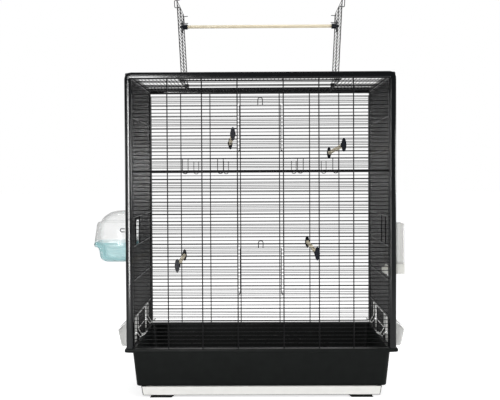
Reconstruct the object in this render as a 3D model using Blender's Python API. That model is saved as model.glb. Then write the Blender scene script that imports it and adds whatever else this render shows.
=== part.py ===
"""A free-standing wire cage for small birds, as separate pieces in metres.

Black corner posts and top rails stand on a deep flared tub and hold close wire grilles. Two
roof flaps open outward, two doors drop down in the front, and a tray slides out below.
+Z is up, the front faces -Y, and the origin is on the floor below the middle of the frame.
"""

from math import cos, pi, radians, sin

import bmesh
import bpy
import numpy as np
from mathutils import Matrix, Vector

# Overall frame
CAGE_WIDTH = 0.800
CAGE_DEPTH = 0.500
FRAME_TOP = 0.964
POST_WIDTH = 0.021
POST_DEPTH = 0.022
RAIL_HEIGHT = 0.020
POST_ROUND = 0.005
RAIL_CORNER = 0.018
GAP = 0.0003

# Base: plate with feet, drawer and tub
PLATE_UNDER = 0.0070
PLATE_THICK = 0.0022
PLATE_WALL = 0.0020
PLATE_SIDE_INSET = 0.0425
PLATE_FRONT_INSET = 0.009
PLATE_BACK_INSET = 0.014
PLATE_DRAFT = 0.0050
FOOT_INSET = 0.0255
FOOT_WIDTH = 0.070
FOOT_LENGTH = 0.060
FOOT_SLANT = 0.006
TUB_BOTTOM = 0.034
TUB_TOP = 0.146
TUB_WALL = 0.003
TUB_SIDE_INSET = 0.018
TUB_FLARE = 0.010
TUB_LEDGE = 0.027
TUB_CORNER = 0.016
RIM_DEPTH = 0.0105
RIM_SHEET = 0.0025
RIM_INSET = 0.024
RIM_OVERHANG = 0.0005
RIM_SIDE_OVERHANG = 0.0050
RIM_EDGE = 0.0025
DRAWER_CLEARANCE = 0.0008
DRAWER_FRONT_THICK = 0.005
DRAWER_WALL = 0.002
DRAWER_WALL_HEIGHT = 0.018
DRAWER_PAN_INSET = 0.006

# Wires
BAR = 0.002
FRAME_WIRE = 0.003
BAR_PITCH = 0.0113
FIRST_BAR_RISE = 0.0044
FRONT_BAR_INSET = 0.0125
SIDE_FRAME_INSET = 0.0188
UPRIGHTS = (0.068, 0.173, 0.275)
MID_RAIL_RISE = 0.526
MID_RAIL_HEIGHT = 0.006
# The extra gap between the bars on either side of the middle rail
MID_STEP = 0.0043
HOOK_PLACES = (0.118, 0.222)
HOOK_WIDTH = 0.019
HOOK_RISE = 0.034
HOOK_DROP = 0.005
HOOK_WIRE = 0.0022
# Heights of the heavy side wires above the tub
SIDE_WIRE_RISES = (0.089, 0.198, 0.301, 0.388, 0.487, 0.587, 0.686)

# Doors, counted in bars above the first
DOOR_BARS = 12
BARS_OVER_DOOR = 7
LOWER_DOOR_BAR = 14
DOOR_HALF_WIDTH = 0.062
LATCH_WIDTH = 0.016
LATCH_RISE = 0.0225
HINGE_EYE = 0.0033
HINGE_HOLE = 0.00175
HINGE_PIN = 0.0011
EYE_THICK = 0.0025

# Ports in the side grilles: the two upright bars that edge each, counted from the front, or
# from the back where negative, and the heights of its ends in bars of the front grille
CUP_PORTS = ((1, 9), (-17, -9))
CUP_PORT_TOP = 7
BATH_PORT = (6, 14)
BATH_ROWS = (26, 33)
SILO_PORT = (0, 7)
SILO_ROWS = (18, 21)

# Roof and flaps
ROOF_BAR_DROP = 0.0115
ROOF_OPENING_HALF = 0.241
ROOF_OPENING_FRONT = -0.124
ROOF_OPENING_BACK = 0.121
ROOF_SIDE_WIRES = (0.061, 0.199)
FLAP_HINGE_RISE = 0.0045
FLAP_LEAN = 3.0
FLAP_ROWS = 21
FLAP_PITCH = 0.01147
FLAP_END_GAP = 0.0005
PULL_HEIGHT = 0.0249
PULL_STAND_OFF = 0.008
PULL_TAIL = 0.0080
STAPLE_HEIGHT = 0.0256
STAPLE_DROP = 0.0070
STAPLE_REACH = 0.0135
SMALL_WIRE = 0.0024
KNUCKLE_PLACES = (-0.100, 0.098)
KNUCKLE_LENGTH = 0.016
KNUCKLE_HALF = 0.0063

# Perches
DOWEL_RADIUS = 0.0060
CAP_HALF_WIDTH = 0.00725
CAP_HALF_HEIGHT = 0.02025
CAP_PLATE = 0.0028
CAP_NECK_WIDTH = 0.003
CAP_NECK_HEIGHT = 0.0042
CAP_HUB_RADIUS = 0.0085
CAP_HUB_LENGTH = 0.014
CAP_BORE_DEPTH = 0.009
CAP_BORE_SLACK = 0.0011
# X at the front and at the back, and the bar gap each end is clamped in
PERCHES = (
    (-0.081, -0.103, 55, 54),
    (0.246, 0.241, 52, 51),
    (-0.2475, -0.265, 21, 20),
    (0.167, 0.164, 24, 24),
)
ROOF_DOWEL_RADIUS = 0.00535
# Height of the roof perch, in the flap's rows
ROOF_PERCH_ROW = 15.64
ROOF_CAP_HUB = 0.0145
ROOF_CAP_HUB_RADIUS = 0.0083
ROOF_CAP_HALF_WIDTH = 0.0092
FORK_REACH = 0.008
FORK_INNER = 0.0022
FORK_OUTER = 0.0044
FORK_HEIGHT = 0.006

# Bath that hangs outside the left opening
BATH_REACH = 0.1225
BATH_HALF_DEPTH = 0.066
BATH_RIM_RISE = 0.0058
BATH_RIM_HEIGHT = 0.015
HOOD_HEIGHT = 0.0955
BASIN_DEPTH = 0.0455
BATH_SHELL = 0.0018
BATH_CORNER = 0.020
# Levels of the hood: share of its height, then how far the outer wall, the wall at the
# grille and the ends stand in from the rim, and the corner radius
HOOD_LEVELS = (
    (0.000, 0.0000, 0.0000, 0.0000, BATH_CORNER),
    (0.588, 0.0072, 0.0000, 0.0035, 0.022),
    (0.652, 0.0170, 0.0040, 0.0110, 0.026),
    (0.709, 0.0192, 0.0045, 0.0130, 0.027),
    (0.793, 0.0248, 0.0060, 0.0165, 0.028),
    (0.874, 0.0341, 0.0080, 0.0220, 0.028),
    (0.950, 0.0466, 0.0120, 0.0310, 0.025),
    (1.000, 0.0700, 0.0220, 0.0480, 0.012),
)
# Levels of the basin below its rim, the same way, with the share counted downward
BASIN_LEVELS = (
    (0.00, 0.0075, 0.0030, 0.0040, 0.018),
    (0.65, 0.0150, 0.0100, 0.0100, 0.020),
    (0.90, 0.0215, 0.0150, 0.0155, 0.020),
    (1.00, 0.0320, 0.0240, 0.0230, 0.016),
)
DOORWAY_INSET = 0.0075
DOORWAY_HEIGHT = 0.056
CLIP_START = 0.027
CLIP_LENGTH = 0.0155
CLIP_RISE = 0.0382
CLIP_HEIGHT = 0.0125
CLIP_BAR = 0.003
KNOB_RADIUS = 0.0034
KNOB_LENGTH = 0.010
KNOB_DROP = 0.003

# Food silo on the right
SILO_HALF_DEPTH = 0.043
SILO_STAND_OFF = 0.0162
SILO_THICKNESS = 0.0265
SILO_BOTTOM_RISE = 0.0102
TROUGH_HEIGHT = 0.029
TANK_HEIGHT = 0.122
SILO_SHELL = 0.0018
SILO_NECK_HALF = 0.034
SILO_REACH_IN = 0.0097
SILO_LIP = 0.005
SILO_MOUTH_HEIGHT = 0.0145

# Cups, with their heights above the tub
CUP_HALF_DEPTH = 0.0455
CUP_WALL = 0.0018
CUP_BOTTOM_RISE = 0.002
CUP_BOTTOM_REACH = 0.035
CUP_OUTER_REACH = 0.0445
CUP_OUTER_RISE = 0.050
CUP_INNER_RISE = 0.080
CUP_SILL_RISE = 0.026
LID_THICK = 0.0018
LID_OVERHANG = 0.008
LID_SIDE = 0.0008
LID_BOW = 0.0050
LID_SETBACK = 0.0020
CUP_PERCH_REACH = 0.029
CUP_PERCH_LOW_RISE = 0.024
CUP_PERCH_TIP_RISE = 0.038
CUP_PERCH_HALF = 0.022
CUP_PERCH_UPPER_RISE = 0.088
CUP_PERCH_LOWER_RISE = 0.044

# Places that follow from the sizes above
HALF_WIDTH = CAGE_WIDTH / 2
HALF_DEPTH = CAGE_DEPTH / 2
POST_INNER_X = HALF_WIDTH - POST_WIDTH
POST_INNER_Y = HALF_DEPTH - POST_DEPTH
RAIL_UNDER = FRAME_TOP - RAIL_HEIGHT
PLATE_TOP = PLATE_UNDER + PLATE_THICK
PLATE_HALF_WIDTH = HALF_WIDTH - PLATE_SIDE_INSET
PLATE_FRONT = HALF_DEPTH - PLATE_FRONT_INSET
PLATE_BACK = HALF_DEPTH - PLATE_BACK_INSET
FOOT_OUTER = PLATE_HALF_WIDTH - FOOT_INSET
FOOT_INNER = FOOT_OUTER - FOOT_WIDTH
TUB_HALF_WIDTH = HALF_WIDTH - TUB_SIDE_INSET
FIRST_BAR = TUB_TOP + FIRST_BAR_RISE
BAR_COUNT = int((RAIL_UNDER - FIRST_BAR - MID_STEP - BAR) / BAR_PITCH) + 1
UPPER_DOOR_BAR = BAR_COUNT - BARS_OVER_DOOR - DOOR_BARS
FRONT_BAR_DEPTH = HALF_DEPTH - FRONT_BAR_INSET
FRONT_FRAME_DEPTH = FRONT_BAR_DEPTH + (BAR + FRAME_WIRE) / 2 + GAP
SIDE_FRAME_OFFSET = HALF_WIDTH - SIDE_FRAME_INSET
SIDE_BAR_OFFSET = SIDE_FRAME_OFFSET + (BAR + FRAME_WIRE) / 2 + GAP
SIDE_FACE = SIDE_BAR_OFFSET + BAR / 2 + GAP
SIDE_BAR_COUNT = int(2 * (POST_INNER_Y - GAP - BAR) / BAR_PITCH) + 1
SIDE_BARS = [(index - (SIDE_BAR_COUNT - 1) / 2) * BAR_PITCH for index in range(SIDE_BAR_COUNT)]
MID_RAIL = TUB_TOP + MID_RAIL_RISE
LOWER_BAR_COUNT = int((MID_RAIL - FIRST_BAR) / BAR_PITCH)
SIDE_WIRES = tuple(TUB_TOP + rise for rise in SIDE_WIRE_RISES)
CUP_EDGES = [(SIDE_BARS[near], SIDE_BARS[far]) for near, far in CUP_PORTS]
BATH_EDGES = (SIDE_BARS[BATH_PORT[0]], SIDE_BARS[BATH_PORT[1]])
SILO_EDGES = (SIDE_BARS[SILO_PORT[0]], SIDE_BARS[SILO_PORT[1]])
CUP_CENTRES = [sum(edges) / 2 for edges in CUP_EDGES]
ROOF_BAR_HEIGHT = FRAME_TOP - ROOF_BAR_DROP
ROOF_FRAME_HEIGHT = ROOF_BAR_HEIGHT - (BAR + FRAME_WIRE) / 2 - GAP
FLAP_HINGE_HEIGHT = ROOF_BAR_HEIGHT + FLAP_HINGE_RISE
BATH_CENTRE = sum(BATH_EDGES) / 2
BATH_RIM = FIRST_BAR + BATH_ROWS[0] * BAR_PITCH + BATH_RIM_RISE
HOOD_LOW = BATH_RIM + BATH_RIM_HEIGHT / 2
BASIN_RIM_LOW = BATH_RIM - BATH_RIM_HEIGHT / 2
SILO_CENTRE = sum(SILO_EDGES) / 2
SILO_INNER = SIDE_FACE + SILO_STAND_OFF
SILO_OUTER = SILO_INNER + SILO_THICKNESS
SILO_BOTTOM = FIRST_BAR + SILO_ROWS[0] * BAR_PITCH + SILO_BOTTOM_RISE
SILO_SPLIT = SILO_BOTTOM + TROUGH_HEIGHT
SILO_TOP = SILO_SPLIT + TANK_HEIGHT
CUP_BOTTOM = TUB_TOP + CUP_BOTTOM_RISE
CUP_OUTER_TOP = TUB_TOP + CUP_OUTER_RISE
CUP_INNER_TOP = TUB_TOP + CUP_INNER_RISE
CUP_SILL = TUB_TOP + CUP_SILL_RISE

MATERIALS = {
    "black_gloss": ((0.012, 0.012, 0.013), 0.18, 0.0),
    "tub_black": ((0.016, 0.017, 0.016), 0.38, 0.0),
    "wire_black": ((0.018, 0.018, 0.019), 0.32, 0.0),
    "cap_black": ((0.014, 0.015, 0.019), 0.30, 0.0),
    "drawer_white": ((0.86, 0.85, 0.80), 0.35, 0.0),
    "wood": ((0.74, 0.61, 0.40), 0.55, 0.0),
    "clear": ((0.86, 0.90, 0.91), 0.06, 0.0),
    "turquoise": ((0.25, 0.68, 0.74), 0.10, 0.0),
    "grey_plastic": ((0.33, 0.35, 0.36), 0.40, 0.0),
    "milky": ((0.84, 0.84, 0.80), 0.25, 0.0),
    "trough_grey": ((0.50, 0.49, 0.45), 0.35, 0.0),
    "chrome": ((0.80, 0.80, 0.80), 0.12, 1.0),
}


def clear_scene():
    for old in list(bpy.data.objects):
        bpy.data.objects.remove(old, do_unlink=True)


def material(name):
    found = bpy.data.materials.get(name)
    if found:
        return found
    colour, roughness, metallic = MATERIALS[name]
    made = bpy.data.materials.new(name)
    made.use_nodes = True
    shader = made.node_tree.nodes["Principled BSDF"]
    shader.inputs["Base Color"].default_value = (*colour, 1.0)
    shader.inputs["Roughness"].default_value = roughness
    shader.inputs["Metallic"].default_value = metallic
    made.diffuse_color = (*colour, 1.0)
    return made


def add_object(name, mesh, finish, place=(0, 0, 0), lean=0.0):
    """Put a mesh in the scene; lean turns it about the Y line through its place."""
    mesh.materials.clear()
    mesh.materials.append(material(finish))
    made = bpy.data.objects.new(name, mesh)
    made.location = place
    made.rotation_euler = (0, lean, 0)
    bpy.context.scene.collection.objects.link(made)
    return made


def mesh_from(name, points, faces):
    mesh = bpy.data.meshes.new(name)
    mesh.from_pydata([tuple(point) for point in points], [], faces)
    mesh.validate()
    work = bmesh.new()
    work.from_mesh(mesh)
    bmesh.ops.recalc_face_normals(work, faces=work.faces)
    work.to_mesh(mesh)
    work.free()
    return mesh


def smooth(made, angle=40.0):
    made.data.shade_smooth()
    made.data.set_sharp_from_angle(angle=radians(angle))
    return made


def box(x, y, z):
    """A box from its (low, high) along each axis, given in either order."""
    spans = [sorted(span) for span in (x, y, z)]
    return tuple(span[0] for span in spans), tuple(span[1] for span in spans)


def around(centre, size):
    return centre - size / 2, centre + size / 2


def welded_mesh(name, boxes):
    """One closed skin round a group of boxes that run into each other."""
    lows = np.round(np.array([low for low, high in boxes]), 7)
    highs = np.round(np.array([high for low, high in boxes]), 7)
    lines = [np.unique(np.concatenate([lows[:, a], highs[:, a]])) for a in range(3)]
    filled = np.zeros([len(line) + 1 for line in lines], dtype=bool)
    for low, high in zip(lows, highs):
        span = [
            slice(np.searchsorted(line, start) + 1, np.searchsorted(line, end) + 1)
            for line, start, end in zip(lines, low, high)
        ]
        filled[tuple(span)] = True
    corners, points, faces = {}, [], []

    def corner(index):
        if index not in corners:
            corners[index] = len(points)
            points.append(tuple(lines[a][index[a]] for a in range(3)))
        return corners[index]

    for a in range(3):
        b, c = (a + 1) % 3, (a + 2) % 3
        before = [slice(None)] * 3
        after = [slice(None)] * 3
        before[a] = slice(0, -1)
        after[a] = slice(1, None)
        edge = filled[tuple(before)] != filled[tuple(after)]
        for cell in np.argwhere(edge):
            outward = bool(filled[tuple(cell)])
            loop = []
            for step_b, step_c in ((0, 0), (1, 0), (1, 1), (0, 1)):
                index = [0, 0, 0]
                index[a] = int(cell[a])
                index[b] = int(cell[b]) - 1 + step_b
                index[c] = int(cell[c]) - 1 + step_c
                loop.append(corner(tuple(index)))
            faces.append(loop if outward else loop[::-1])
    mesh = bpy.data.meshes.new(name)
    mesh.from_pydata(points, [], faces)
    return mesh


def rounded_loop(half_x, half_y, radius, steps=4, centre=(0.0, 0.0)):
    """The points of a rectangle with round corners, counter-clockwise."""
    points = []
    for quarter in range(4):
        sign_x = 1 if quarter in (0, 3) else -1
        sign_y = 1 if quarter in (0, 1) else -1
        for step in range(steps + 1):
            turn = pi / 2 * (quarter + step / steps)
            x = centre[0] + sign_x * (half_x - radius) + radius * cos(turn)
            y = centre[1] + sign_y * (half_y - radius) + radius * sin(turn)
            points.append((x, y))
    return points


def loft_mesh(name, loops, ring=False):
    """Skin loops of equal length; the ends are capped, or joined where it is a ring."""
    count = len(loops[0])
    points = [point for loop in loops for point in loop]
    faces = []
    last = len(loops) if ring else len(loops) - 1
    for row in range(last):
        low, high = row * count, (row + 1) % len(loops) * count
        for step in range(count):
            after = (step + 1) % count
            faces.append((low + step, low + after, high + after, high + step))
    if not ring:
        faces.append(tuple(range(count)))
        faces.append(tuple(range(len(points) - count, len(points))))
    return mesh_from(name, points, faces)


def rounded_loft(name, sections, centre, ring=False, steps=4):
    """Loft of upright sections, each (height, half size in X, in Y, corner radius)."""
    loops = []
    for height, half_x, half_y, radius in sections:
        flat = rounded_loop(half_x, half_y, radius, steps, centre)
        loops.append([(x, y, height) for x, y in flat])
    return loft_mesh(name, loops, ring)


def oval_loft(name, sections, sides=10):
    """Ovals along +Y, each (place along Y, centre X, centre Z, half width, half height)."""
    loops = []
    for along, centre_x, centre_z, half_x, half_z in sections:
        turns = [2 * pi * (side + 0.5) / sides for side in range(sides)]
        loops.append(
            [(centre_x + half_x * cos(t), along, centre_z + half_z * sin(t)) for t in turns]
        )
    return loft_mesh(name, loops)


def prism_mesh(name, outline, low, high):
    """An outline in X and Z, carried along Y from low to high."""
    loops = [[(x, along, z) for x, z in outline] for along in (low, high)]
    return loft_mesh(name, loops)


def apply_boolean(target, tool, operation):
    """Cut the target with a tool, or join them, and keep the result as its mesh."""
    tool.hide_render = True
    tool.display_type = "WIRE"
    modifier = target.modifiers.new(operation.lower(), "BOOLEAN")
    modifier.operation = operation
    modifier.object = tool
    modifier.solver = "EXACT"
    bpy.context.view_layer.update()
    graph = bpy.context.evaluated_depsgraph_get()
    result = bpy.data.meshes.new_from_object(target.evaluated_get(graph))
    target.modifiers.clear()
    target.data = result
    bpy.data.objects.remove(tool, do_unlink=True)
    return target


def bar_height(index):
    step = MID_STEP if index >= LOWER_BAR_COUNT else 0.0
    return FIRST_BAR + index * BAR_PITCH + step


def gap_height(index):
    """The middle of the gap above a bar."""
    return bar_height(index + 0.5)


def make_base_plate():
    """Bottom plate with low side walls, open at the front, on four slanted feet."""
    floor = (PLATE_UNDER, PLATE_TOP)
    wall_top = (PLATE_UNDER, TUB_BOTTOM - GAP)
    across = (-PLATE_HALF_WIDTH, PLATE_HALF_WIDTH)
    along = (-PLATE_FRONT, PLATE_BACK)
    boxes = [box(across, along, floor)]
    boxes.append(box(across, (PLATE_BACK - PLATE_WALL, PLATE_BACK), wall_top))
    for side in (-1, 1):
        outer = side * PLATE_HALF_WIDTH
        boxes.append(box((outer - side * PLATE_WALL, outer), along, wall_top))
        foot = (side * FOOT_INNER, side * FOOT_OUTER)
        boxes.append(box(foot, (-PLATE_FRONT, FOOT_LENGTH - PLATE_FRONT), (0, PLATE_UNDER)))
        boxes.append(box(foot, (PLATE_BACK - FOOT_LENGTH, PLATE_BACK), (0, PLATE_UNDER)))
    mesh = welded_mesh("base_plate", boxes)
    for vertex in mesh.vertices:
        if vertex.co.z < PLATE_UNDER / 2 and abs(vertex.co.x) < (FOOT_INNER + FOOT_OUTER) / 2:
            vertex.co.x += FOOT_SLANT * (1 if vertex.co.x > 0 else -1)
        elif vertex.co.z > PLATE_UNDER / 2:
            vertex.co.x = drafted(vertex.co.x, vertex.co.z)
    return add_object("base_plate", mesh, "tub_black")


def drafted(x, z):
    """Side walls of the plate and the drawer lean out towards the tub."""
    lean = PLATE_DRAFT * (TUB_BOTTOM - z) / (TUB_BOTTOM - PLATE_UNDER)
    return x * (1 - lean / PLATE_HALF_WIDTH)


def make_drawer():
    """Litter tray: a full-width front and a shallow pan that slides on the plate."""
    low = PLATE_TOP + GAP
    front_half = PLATE_HALF_WIDTH - PLATE_WALL - DRAWER_CLEARANCE
    pan_half = front_half - DRAWER_PAN_INSET
    front = (-PLATE_FRONT - GAP - DRAWER_FRONT_THICK, -PLATE_FRONT - GAP)
    pan_back = PLATE_BACK - PLATE_WALL - DRAWER_CLEARANCE
    pan_top = low + DRAWER_WALL_HEIGHT
    depth = (front[0], pan_back)
    boxes = [
        box((-front_half, front_half), front, (low, TUB_BOTTOM - GAP)),
        box((-pan_half, pan_half), depth, (low, low + DRAWER_WALL)),
        box((-pan_half, pan_half), (pan_back - DRAWER_WALL, pan_back), (low, pan_top)),
    ]
    for side in (-1, 1):
        wall = (side * (pan_half - DRAWER_WALL), side * pan_half)
        boxes.append(box(wall, depth, (low, pan_top)))
    mesh = welded_mesh("drawer", boxes)
    for vertex in mesh.vertices:
        vertex.co.x = drafted(vertex.co.x, vertex.co.z)
    return add_object("drawer", mesh, "drawer_white")


def make_tub():
    """Deep flared tub, open below over the drawer, with a rim that the posts stand on."""
    low_x = TUB_HALF_WIDTH - TUB_FLARE
    low_y = HALF_DEPTH - TUB_FLARE
    rim_under = TUB_TOP - RIM_DEPTH
    sheet_under = TUB_TOP - RIM_SHEET
    inner_x, inner_y = HALF_WIDTH - RIM_INSET, HALF_DEPTH - RIM_INSET
    rim_x, rim_y = HALF_WIDTH + RIM_SIDE_OVERHANG, HALF_DEPTH + RIM_OVERHANG
    floor_top = TUB_BOTTOM + TUB_WALL
    inside = TUB_CORNER - TUB_WALL
    sections = [
        (TUB_BOTTOM, low_x, low_y, TUB_CORNER),
        (rim_under, TUB_HALF_WIDTH, HALF_DEPTH - RIM_OVERHANG, TUB_CORNER),
        (rim_under, rim_x, rim_y, POST_ROUND),
        (TUB_TOP - RIM_EDGE, rim_x, rim_y, POST_ROUND),
        (TUB_TOP, rim_x - RIM_EDGE, rim_y - RIM_EDGE, POST_ROUND - RIM_EDGE / 2),
        (TUB_TOP, inner_x, inner_y, POST_ROUND - RIM_EDGE / 2),
        (sheet_under, inner_x, inner_y, POST_ROUND - RIM_EDGE / 2),
        (sheet_under, TUB_HALF_WIDTH - TUB_WALL, HALF_DEPTH - RIM_OVERHANG - TUB_WALL, inside),
        (floor_top, low_x - TUB_WALL, low_y - TUB_WALL, inside),
        (floor_top, low_x - TUB_LEDGE, low_y - TUB_LEDGE, POST_ROUND),
        (TUB_BOTTOM, low_x - TUB_LEDGE, low_y - TUB_LEDGE, POST_ROUND),
    ]
    mesh = rounded_loft("base_tray", sections, (0, 0), ring=True)
    return smooth(add_object("base_tray", mesh, "tub_black"))


def make_posts():
    half_x, half_y = POST_WIDTH / 2, POST_DEPTH / 2
    sections = [
        (TUB_TOP + GAP, half_x, half_y, POST_ROUND),
        (RAIL_UNDER - GAP, half_x, half_y, POST_ROUND),
    ]
    mesh = rounded_loft("post", sections, (0, 0))
    for depth_name, depth_side in (("front", -1), ("back", 1)):
        for side_name, side in (("left", -1), ("right", 1)):
            place = (side * (HALF_WIDTH - half_x), depth_side * (HALF_DEPTH - half_y), 0)
            post = add_object(f"post_{depth_name}_{side_name}", mesh, "black_gloss", place)
            smooth(post)


def make_top_rails():
    """Front and back rails take the round upper corners; the side rails butt on them."""
    outline = [(-HALF_WIDTH, RAIL_UNDER), (HALF_WIDTH, RAIL_UNDER)]
    steps = 5
    for side, first in ((1, 0.0), (-1, pi / 2)):
        for step in range(steps + 1):
            turn = first + pi / 2 * step / steps
            x = side * (HALF_WIDTH - RAIL_CORNER) + RAIL_CORNER * cos(turn)
            z = FRAME_TOP - RAIL_CORNER + RAIL_CORNER * sin(turn)
            outline.append((x, z))
    mesh = prism_mesh("rail_across", outline, -POST_DEPTH / 2, POST_DEPTH / 2)
    for name, side in (("front", -1), ("back", 1)):
        place = (0, side * (HALF_DEPTH - POST_DEPTH / 2), 0)
        smooth(add_object(f"rail_top_{name}", mesh, "black_gloss", place))
    flat = rounded_loop(POST_WIDTH / 2, RAIL_HEIGHT / 2, POST_ROUND, 3)
    middle = FRAME_TOP - RAIL_HEIGHT / 2
    outline = [(x, middle + z) for x, z in flat]
    reach = POST_INNER_Y - GAP
    mesh = prism_mesh("rail_along", outline, -reach, reach)
    for name, side in (("left", -1), ("right", 1)):
        place = (side * (HALF_WIDTH - POST_WIDTH / 2), 0, 0)
        smooth(add_object(f"rail_top_{name}", mesh, "black_gloss", place))


def ladder(places, ends, openings):
    """Parallel bars of a grille, each as its (low, high) across them and along them.

    An opening is the places of the two bars that edge it and its (low, high) along them.
    The bars between end there, at cross bars."""
    wires = []
    for place in places:
        start = ends[0]
        for edges, span in openings:
            if edges[0] + BAR < place < edges[1] - BAR:
                wires.append((around(place, BAR), (start, span[0])))
                start = span[1]
        wires.append((around(place, BAR), (start, ends[1])))
    spans = [((places[0], places[-1]), (ends[0] + BAR, ends[1] - BAR))] + openings
    for edges, (low, high) in spans:
        across = (edges[0] - BAR / 2, edges[1] + BAR / 2)
        wires += [(across, (low - BAR, low)), (across, (high, high + BAR))]
    return wires


def between_rows(low, high):
    """The clear height between two bars of the front grille."""
    return bar_height(low) + BAR / 2, bar_height(high) - BAR / 2


def door_opening(first_bar):
    half = UPRIGHTS[0] - FRAME_WIRE / 2
    return (bar_height(first_bar - 1), bar_height(first_bar + DOOR_BARS + 1)), (-half, half)


def front_frame_wires():
    """Uprights, the heavy middle rail and its hooks, as (low, high) across and up."""
    reach = POST_INNER_X - GAP
    full = (TUB_TOP + GAP, RAIL_UNDER - GAP)
    rail = around(MID_RAIL, MID_RAIL_HEIGHT)
    wires = [((-reach, reach), rail)]
    for side in (-1, 1):
        wires += [(around(side * place, FRAME_WIRE), full) for place in UPRIGHTS]
        for place in HOOK_PLACES:
            low = rail[0] - HOOK_DROP
            wires.append((around(side * place, HOOK_WIDTH), (low, low + HOOK_WIRE)))
            for leg in (-1, 1):
                centre = side * place + leg * (HOOK_WIDTH - HOOK_WIRE) / 2
                wires.append((around(centre, HOOK_WIRE), (low, rail[1] + HOOK_RISE)))
    return wires


def make_front_and_back_grilles():
    reach = POST_INNER_X - GAP
    rows = [bar_height(index) for index in range(BAR_COUNT)]
    doors = [door_opening(UPPER_DOOR_BAR), door_opening(LOWER_DOOR_BAR)]
    for name, side, openings in (("front", -1, doors), ("back", 1, [])):
        depth = around(side * FRONT_BAR_DEPTH, BAR)
        boxes = [box(x, depth, z) for z, x in ladder(rows, (-reach, reach), openings)]
        add_object(f"{name}_bars", welded_mesh(f"{name}_bars", boxes), "wire_black")
        depth = around(side * FRONT_FRAME_DEPTH, FRAME_WIRE)
        boxes = [box(x, depth, z) for x, z in front_frame_wires()]
        if openings:
            boxes += door_pins()
        add_object(f"{name}_frame", welded_mesh(f"{name}_frame", boxes), "wire_black")


def door_pins():
    """Stubs on the inner uprights that the door eyes turn on."""
    depth = (-FRONT_FRAME_DEPTH - HINGE_PIN, -FRONT_FRAME_DEPTH + HINGE_PIN)
    boxes = []
    for first_bar in (UPPER_DOOR_BAR, LOWER_DOOR_BAR):
        height = bar_height(first_bar)
        for side in (-1, 1):
            across = (side * DOOR_HALF_WIDTH, side * UPRIGHTS[0])
            boxes.append(box(across, depth, (height - HINGE_PIN, height + HINGE_PIN)))
    return boxes


def make_door(name, first_bar):
    """Drop-down wire door with an eye at each lower corner and a latch loop on top."""
    half = DOOR_HALF_WIDTH
    hinge = Vector((0, -FRONT_FRAME_DEPTH, bar_height(first_bar)))
    plane = around(FRONT_FRAME_DEPTH - FRONT_BAR_DEPTH, BAR)
    top = DOOR_BARS * BAR_PITCH
    full = (-BAR / 2, top + BAR / 2)
    boxes = []
    for row in range(DOOR_BARS + 1):
        boxes.append(box((-half, half), plane, around(row * BAR_PITCH, BAR)))
    for side in (-1, 1):
        boxes.append(box((side * (half - BAR), side * half), plane, full))
        eye = (side * half, side * (half + EYE_THICK))
        for near, far in ((-HINGE_EYE, -HINGE_HOLE), (HINGE_HOLE, HINGE_EYE)):
            boxes.append(box(eye, (near, far), (-HINGE_EYE, HINGE_EYE)))
            boxes.append(box(eye, (-HINGE_EYE, HINGE_EYE), (near, far)))
        leg = around(side * (LATCH_WIDTH - SMALL_WIRE) / 2, SMALL_WIRE)
        outer = (plane[0] - GAP - SMALL_WIRE, plane[0] - GAP)
        boxes.append(box(leg, outer, (top - BAR / 2, top + LATCH_RISE)))
        boxes.append(box(leg, (outer[0], plane[1]), around(top, BAR)))
    across = around(0, LATCH_WIDTH)
    boxes.append(box(across, outer, (top + LATCH_RISE - SMALL_WIRE, top + LATCH_RISE)))
    mesh = welded_mesh(name, boxes)
    return add_object(name, mesh, "wire_black", hinge)


def make_side_grilles():
    """Upright bars outside heavier level wires, with ports for the cups, bath and silo."""
    reach = POST_INNER_Y - GAP
    full = (TUB_TOP + GAP, RAIL_UNDER - GAP)
    cup_span = (full[0] + BAR, between_rows(0, CUP_PORT_TOP)[1])
    cups = [(edges, cup_span) for edges in CUP_EDGES]
    bath = (BATH_EDGES, between_rows(*BATH_ROWS))
    silo = (SILO_EDGES, between_rows(*SILO_ROWS))
    for name, side, port in (("left", -1, bath), ("right", 1, silo)):
        offset = around(side * SIDE_BAR_OFFSET, BAR)
        boxes = [box(offset, y, z) for y, z in ladder(SIDE_BARS, full, cups + [port])]
        add_object(f"{name}_bars", welded_mesh(f"{name}_bars", boxes), "wire_black")
        wires = [((-reach, reach), around(height, FRAME_WIRE)) for height in SIDE_WIRES]
        for place in (FRAME_WIRE / 2 - reach, reach - FRAME_WIRE / 2):
            wires.append((around(place, FRAME_WIRE), full))
        for place in BATH_EDGES:
            wires.append((around(place, FRAME_WIRE), (SIDE_WIRES[2], SIDE_WIRES[3])))
        for edges in CUP_EDGES:
            for place in edges:
                wires.append((around(place, FRAME_WIRE), (full[0], SIDE_WIRES[0])))
        offset = around(side * SIDE_FRAME_OFFSET, FRAME_WIRE)
        boxes = [box(offset, y, z) for y, z in wires]
        add_object(f"{name}_frame", welded_mesh(f"{name}_frame", boxes), "wire_black")


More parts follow.
